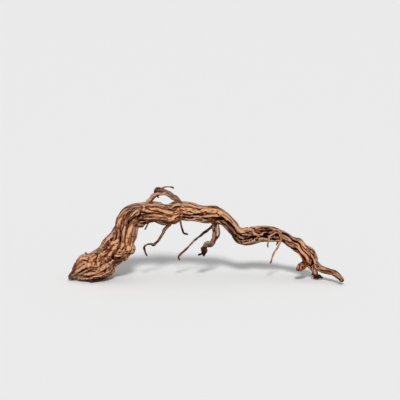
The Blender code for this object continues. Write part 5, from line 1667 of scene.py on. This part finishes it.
def peeled_root_wood():
    """Sun-dried root wood without its bark: matt and fibrous, tan on ridges with a painted highlight, nearly
    black in clefts and hollows with painted shade, and darkened underneath with painted shade.
    """
    material, tree = bare_material("sun_dried_peeled_root_wood")
    read = {name: add(tree, "ShaderNodeAttribute", attribute_name=name).outputs["Fac"]
            for name in ("cleft_shade", "wear_and_highlight", "warmth", "pale", "dark_wood_and_shade", "underside_shade")}
    grain = add(tree, "ShaderNodeAttribute", attribute_name="grain").outputs["Vector"]

    fibre_place = add(tree, "ShaderNodeVectorMath",
                      {0: grain, 1: (1 / FIBRE_LONG, 1 / FIBRE_WIDE, 1 / FIBRE_WIDE)}, operation="MULTIPLY")
    fibre = add(tree, "ShaderNodeTexNoise", {"Vector": fibre_place.outputs[0], "Scale": 1.0,
                                            "Detail": 4.0, "Roughness": 0.65}).outputs["Fac"]
    blotch_place = add(tree, "ShaderNodeVectorMath",
                       {0: grain, 1: (1 / BLOTCH_LONG, 1 / BLOTCH_WIDE, 1 / BLOTCH_WIDE)},
                       operation="MULTIPLY")
    blotch = add(tree, "ShaderNodeTexNoise", {"Vector": blotch_place.outputs[0], "Scale": 1.0,
                                             "Detail": 2.0, "Roughness": 0.5}).outputs["Fac"]

    # How light the wood is: ridges are lighter from wear and a painted highlight, pale strands are light, the
    # underside is darkened with painted shade, and the fibres and blotches vary it
    level = add(tree, "ShaderNodeMath", {0: read["wear_and_highlight"], 1: 0.40}, operation="MULTIPLY").outputs[0]
    for part, weight in ((read["pale"], 0.45), (fibre, 0.75), (blotch, 0.15), (read["underside_shade"], -0.35)):
        level = add(tree, "ShaderNodeMath", {0: part, 1: weight, 2: level},
                    operation="MULTIPLY_ADD").outputs[0]
    wood = add(tree, "ShaderNodeValToRGB", {"Fac": level},
               [(0.30, "#371a0c"), (0.57, "#6f422c"), (0.84, "#a47558"), (1.0, "#d8b294")])
    tint = add(tree, "ShaderNodeValToRGB", {"Fac": read["warmth"]},
               [(0.0, "#bfc3d2"), (0.5, "#f2dccc"), (1.0, "#ffdfb4")])
    tinted = add(tree, "ShaderNodeMix", {0: 0.8, 6: wood.outputs[0], 7: tint.outputs[0]},
                 data_type="RGBA", blend_type="MULTIPLY")
    # Nearly black spots: the wood's own dark spots and painted shade
    dark_wood_and_shade = add(tree, "ShaderNodeMix", {0: read["dark_wood_and_shade"], 6: tinted.outputs[2], 7: linear("#21150f")},
                data_type="RGBA")
    # Painted shade: clefts and hollows darken towards a near-black red-brown
    cleft_shade_ramp = add(tree, "ShaderNodeValToRGB", {"Fac": read["cleft_shade"]},
                     [(0.08, "#ffffff"), (0.35, "#c89c7e"), (0.65, "#7c3c1e"), (0.95, "#561404")])
    colour = add(tree, "ShaderNodeMix", {0: 1.0, 6: dark_wood_and_shade.outputs[2], 7: cleft_shade_ramp.outputs[0]},
                 data_type="RGBA", blend_type="MULTIPLY").outputs[2]

    height = add(tree, "ShaderNodeBump", {"Strength": 0.7, "Distance": FIBRE_HEIGHT * MM, "Height": fibre})
    rough = add(tree, "ShaderNodeMapRange", {"Value": fibre, 3: 0.88, 4: 0.68}).outputs[0]
    # Old dry wood has next to no shine, so its clefts stay dark
    shader = add(tree, "ShaderNodeBsdfPrincipled",
                 {"Base Color": colour, "Roughness": rough, "IOR": 1.5, "Specular IOR Level": 0.06,
                  "Normal": height.outputs[0]})
    add(tree, "ShaderNodeOutputMaterial", {"Surface": shader.outputs[0]})
    return material


def matt_paper():
    """A sheet of matt white paper that the root lies on, without any pattern of its own."""
    material, tree = bare_material("matt_white_paper")
    shader = add(tree, "ShaderNodeBsdfPrincipled", {"Base Color": linear("#f2f2f2"), "Roughness": 0.95,
                                                   "IOR": 1.5, "Specular IOR Level": 0.1})
    add(tree, "ShaderNodeOutputMaterial", {"Surface": shader.outputs[0]})
    return material


def lay_trunk():
    """The trunk's tubes and balls, and the strands that its clefts follow."""
    route = smooth_route(TRUNK, ROUTE_STEP)
    strands = []
    for count, share, first, last in BUNDLES:
        for number in range(count):
            strands.append(bundle_strand(route, number, count, share, first, last))
    for points in RIDGES:
        rows = smooth_route(sunk_ends(points, route), ROUTE_STEP)
        strands.append(strand(rows, away_from(rows, route)))
    for points in FORKS:
        strands.append(strand(smooth_route(points, ROUTE_STEP)))
    core = route.copy()
    core[:, 3] *= CORE_SHARE
    shapes = [tube(strand(core), CORE_SIDES)] + [tube(line, STRAND_SIDES) for line in strands]
    shapes += [ball((x, y, z), radius) for x, y, z, radius in KNOBS]
    return shapes, strands


# Small bends and swellings of the rootlets, as shares of their radius, and where a swelling makes a knot
GNARL_BEND = 0.30
GNARL_SWELL = 0.16
GNARL_KNOT = (0.28, 0.35, 0.8)
NEXT_ROOTLET = 31.7


def gnarled(route, number):
    """The same route with small bends and swellings, which grow with its thickness."""
    s = route_lengths(route)
    spots = np.column_stack([s, s * 0, s * 0 + NEXT_ROOTLET * number])
    radius = route[:, 3]
    for k, axis in enumerate("xyz"):
        route[:, k] += GNARL_BEND * radius * pattern(spots, "rootlet_bends_in_" + axis)
    route[:, 3] = radius * (1 + GNARL_SWELL * pattern(spots, "rootlet_swellings")
                            + weighted_step(pattern(spots, "rootlet_knots"), GNARL_KNOT))
    return route


def lay_rootlets():
    """The rootlets' tubes, and the strands that their fibres follow."""
    strands = []
    for number, (warmth, light, points) in enumerate(ROOTLETS):
        route = gnarled(smooth_route(seen_points(points), ROUTE_STEP), number)
        strands.append(strand(route, warmth=warmth, light=light))
    return [tube(line, STRAND_SIDES) for line in strands], strands


# The relief of each piece in mm, and whether it has the listed marks and the burl
TRUNK_RELIEF = {"seam_width": 0.9, "seam_depth": 1.9, "crack_depth": 1.3, "long_fibres": 0.6,
                "middle_fibres": 0.4, "fine_fibres": 0.25, "marks": 1.0, "burl": 1.0, "deepest": 5.0,
                "dark": DARK_TRUNK}
ROOTLET_RELIEF = {"seam_width": 0.5, "seam_depth": 0.3, "crack_depth": 0.3, "long_fibres": 0.3,
                  "middle_fibres": 0.22, "fine_fibres": 0.15, "marks": 0.0, "burl": 0.0, "deepest": 0.8,
                  "dark": DARK_ROOTLETS}


def make_root(wood):
    """The trunk and the rootlets, each one carved skin, which stand in for the CAD root."""
    kinds = [
        ("trunk", lay_trunk, TRUNK_CELL, TRUNK_LEAST_BODY, TRUNK_RELIEF),
        ("rootlets", lay_rootlets, ROOTLET_CELL, ROOTLET_LEAST_BODY, ROOTLET_RELIEF),
    ]
    for name, lay, cell, least_body, relief in kinds:
        shapes, strands = lay()
        piece = piece_from(name, shapes)
        grow_skin(piece, cell, least_body)
        carve(piece, strands, relief)
        piece.data.materials.clear()
        piece.data.materials.append(wood)
        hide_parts("dry_root")
        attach(piece, "root")


# Soft lights: name, strength, how wide it is, the bearing and the height that it comes from, in degrees
LIGHTS = [
    ("wide_soft_light_in_front", 2.35, 12, 3, 43),
    ("wide_soft_light_overhead", 0.30, 60, 180, 85),
]
SKY_STRENGTH = 0.335
# Half the width of the sheet of paper, in metres
PAPER_HALF = 12.0


def make_stage():
    """The sheet of paper, the lights and the pale room round them."""
    mesh = bpy.data.meshes.new("paper")
    corners = [(x * PAPER_HALF, y * PAPER_HALF, 0) for x, y in ((-1, -1), (1, -1), (1, 1), (-1, 1))]
    mesh.from_pydata(corners, [], [(0, 1, 2, 3)])
    paper = bpy.data.objects.new("paper", mesh)
    bpy.context.scene.collection.objects.link(paper)
    mesh.materials.append(matt_paper())

    for name, strength, spread, bearing, height in LIGHTS:
        data = bpy.data.lights.new(name, "SUN")
        data.energy = strength
        data.angle = math.radians(spread)
        lamp = bpy.data.objects.new(name, data)
        bearing, height = math.radians(bearing), math.radians(height)
        away = Vector((math.sin(bearing) * math.cos(height), -math.cos(bearing) * math.cos(height),
                       math.sin(height)))
        lamp.rotation_euler = away.to_track_quat("Z", "Y").to_euler()
        bpy.context.scene.collection.objects.link(lamp)

    world = bpy.data.worlds.new("pale_room")
    bpy.context.scene.world = world
    world.use_nodes = True
    sky = world.node_tree.nodes["Background"]
    sky.inputs["Color"].default_value = (1.0, 1.0, 1.0, 1.0)
    sky.inputs["Strength"].default_value = SKY_STRENGTH


# The camera, in metres: how far away it is, how wide it sees there, and what it looks at
CAMERA_DISTANCE = 4.0
CAMERA_WIDTH = 0.65
CAMERA_AIM = (-0.0091, 0.0, 0.1344)
# The film's width in mm, and how far the camera sees in metres
FILM_WIDTH = 36
CAMERA_SIGHT = 50


def make_camera():
    """The camera in front of the root, a little above it and tilted down."""
    data = bpy.data.cameras.new("camera")
    data.sensor_width = FILM_WIDTH
    data.lens = data.sensor_width * CAMERA_DISTANCE / CAMERA_WIDTH
    data.clip_end = CAMERA_SIGHT
    camera = bpy.data.objects.new("camera", data)
    bpy.context.scene.collection.objects.link(camera)
    camera.location = (CAMERA_AIM[0], CAMERA_AIM[1] - CAMERA_DISTANCE * math.cos(VIEW_TILT),
                       CAMERA_AIM[2] + CAMERA_DISTANCE * math.sin(VIEW_TILT))
    camera.rotation_euler = (math.pi / 2 - VIEW_TILT, 0, 0)
    bpy.context.scene.camera = camera


make_camera()
make_stage()
make_root(peeled_root_wood())
bpy.context.scene.view_settings.view_transform = "Standard"
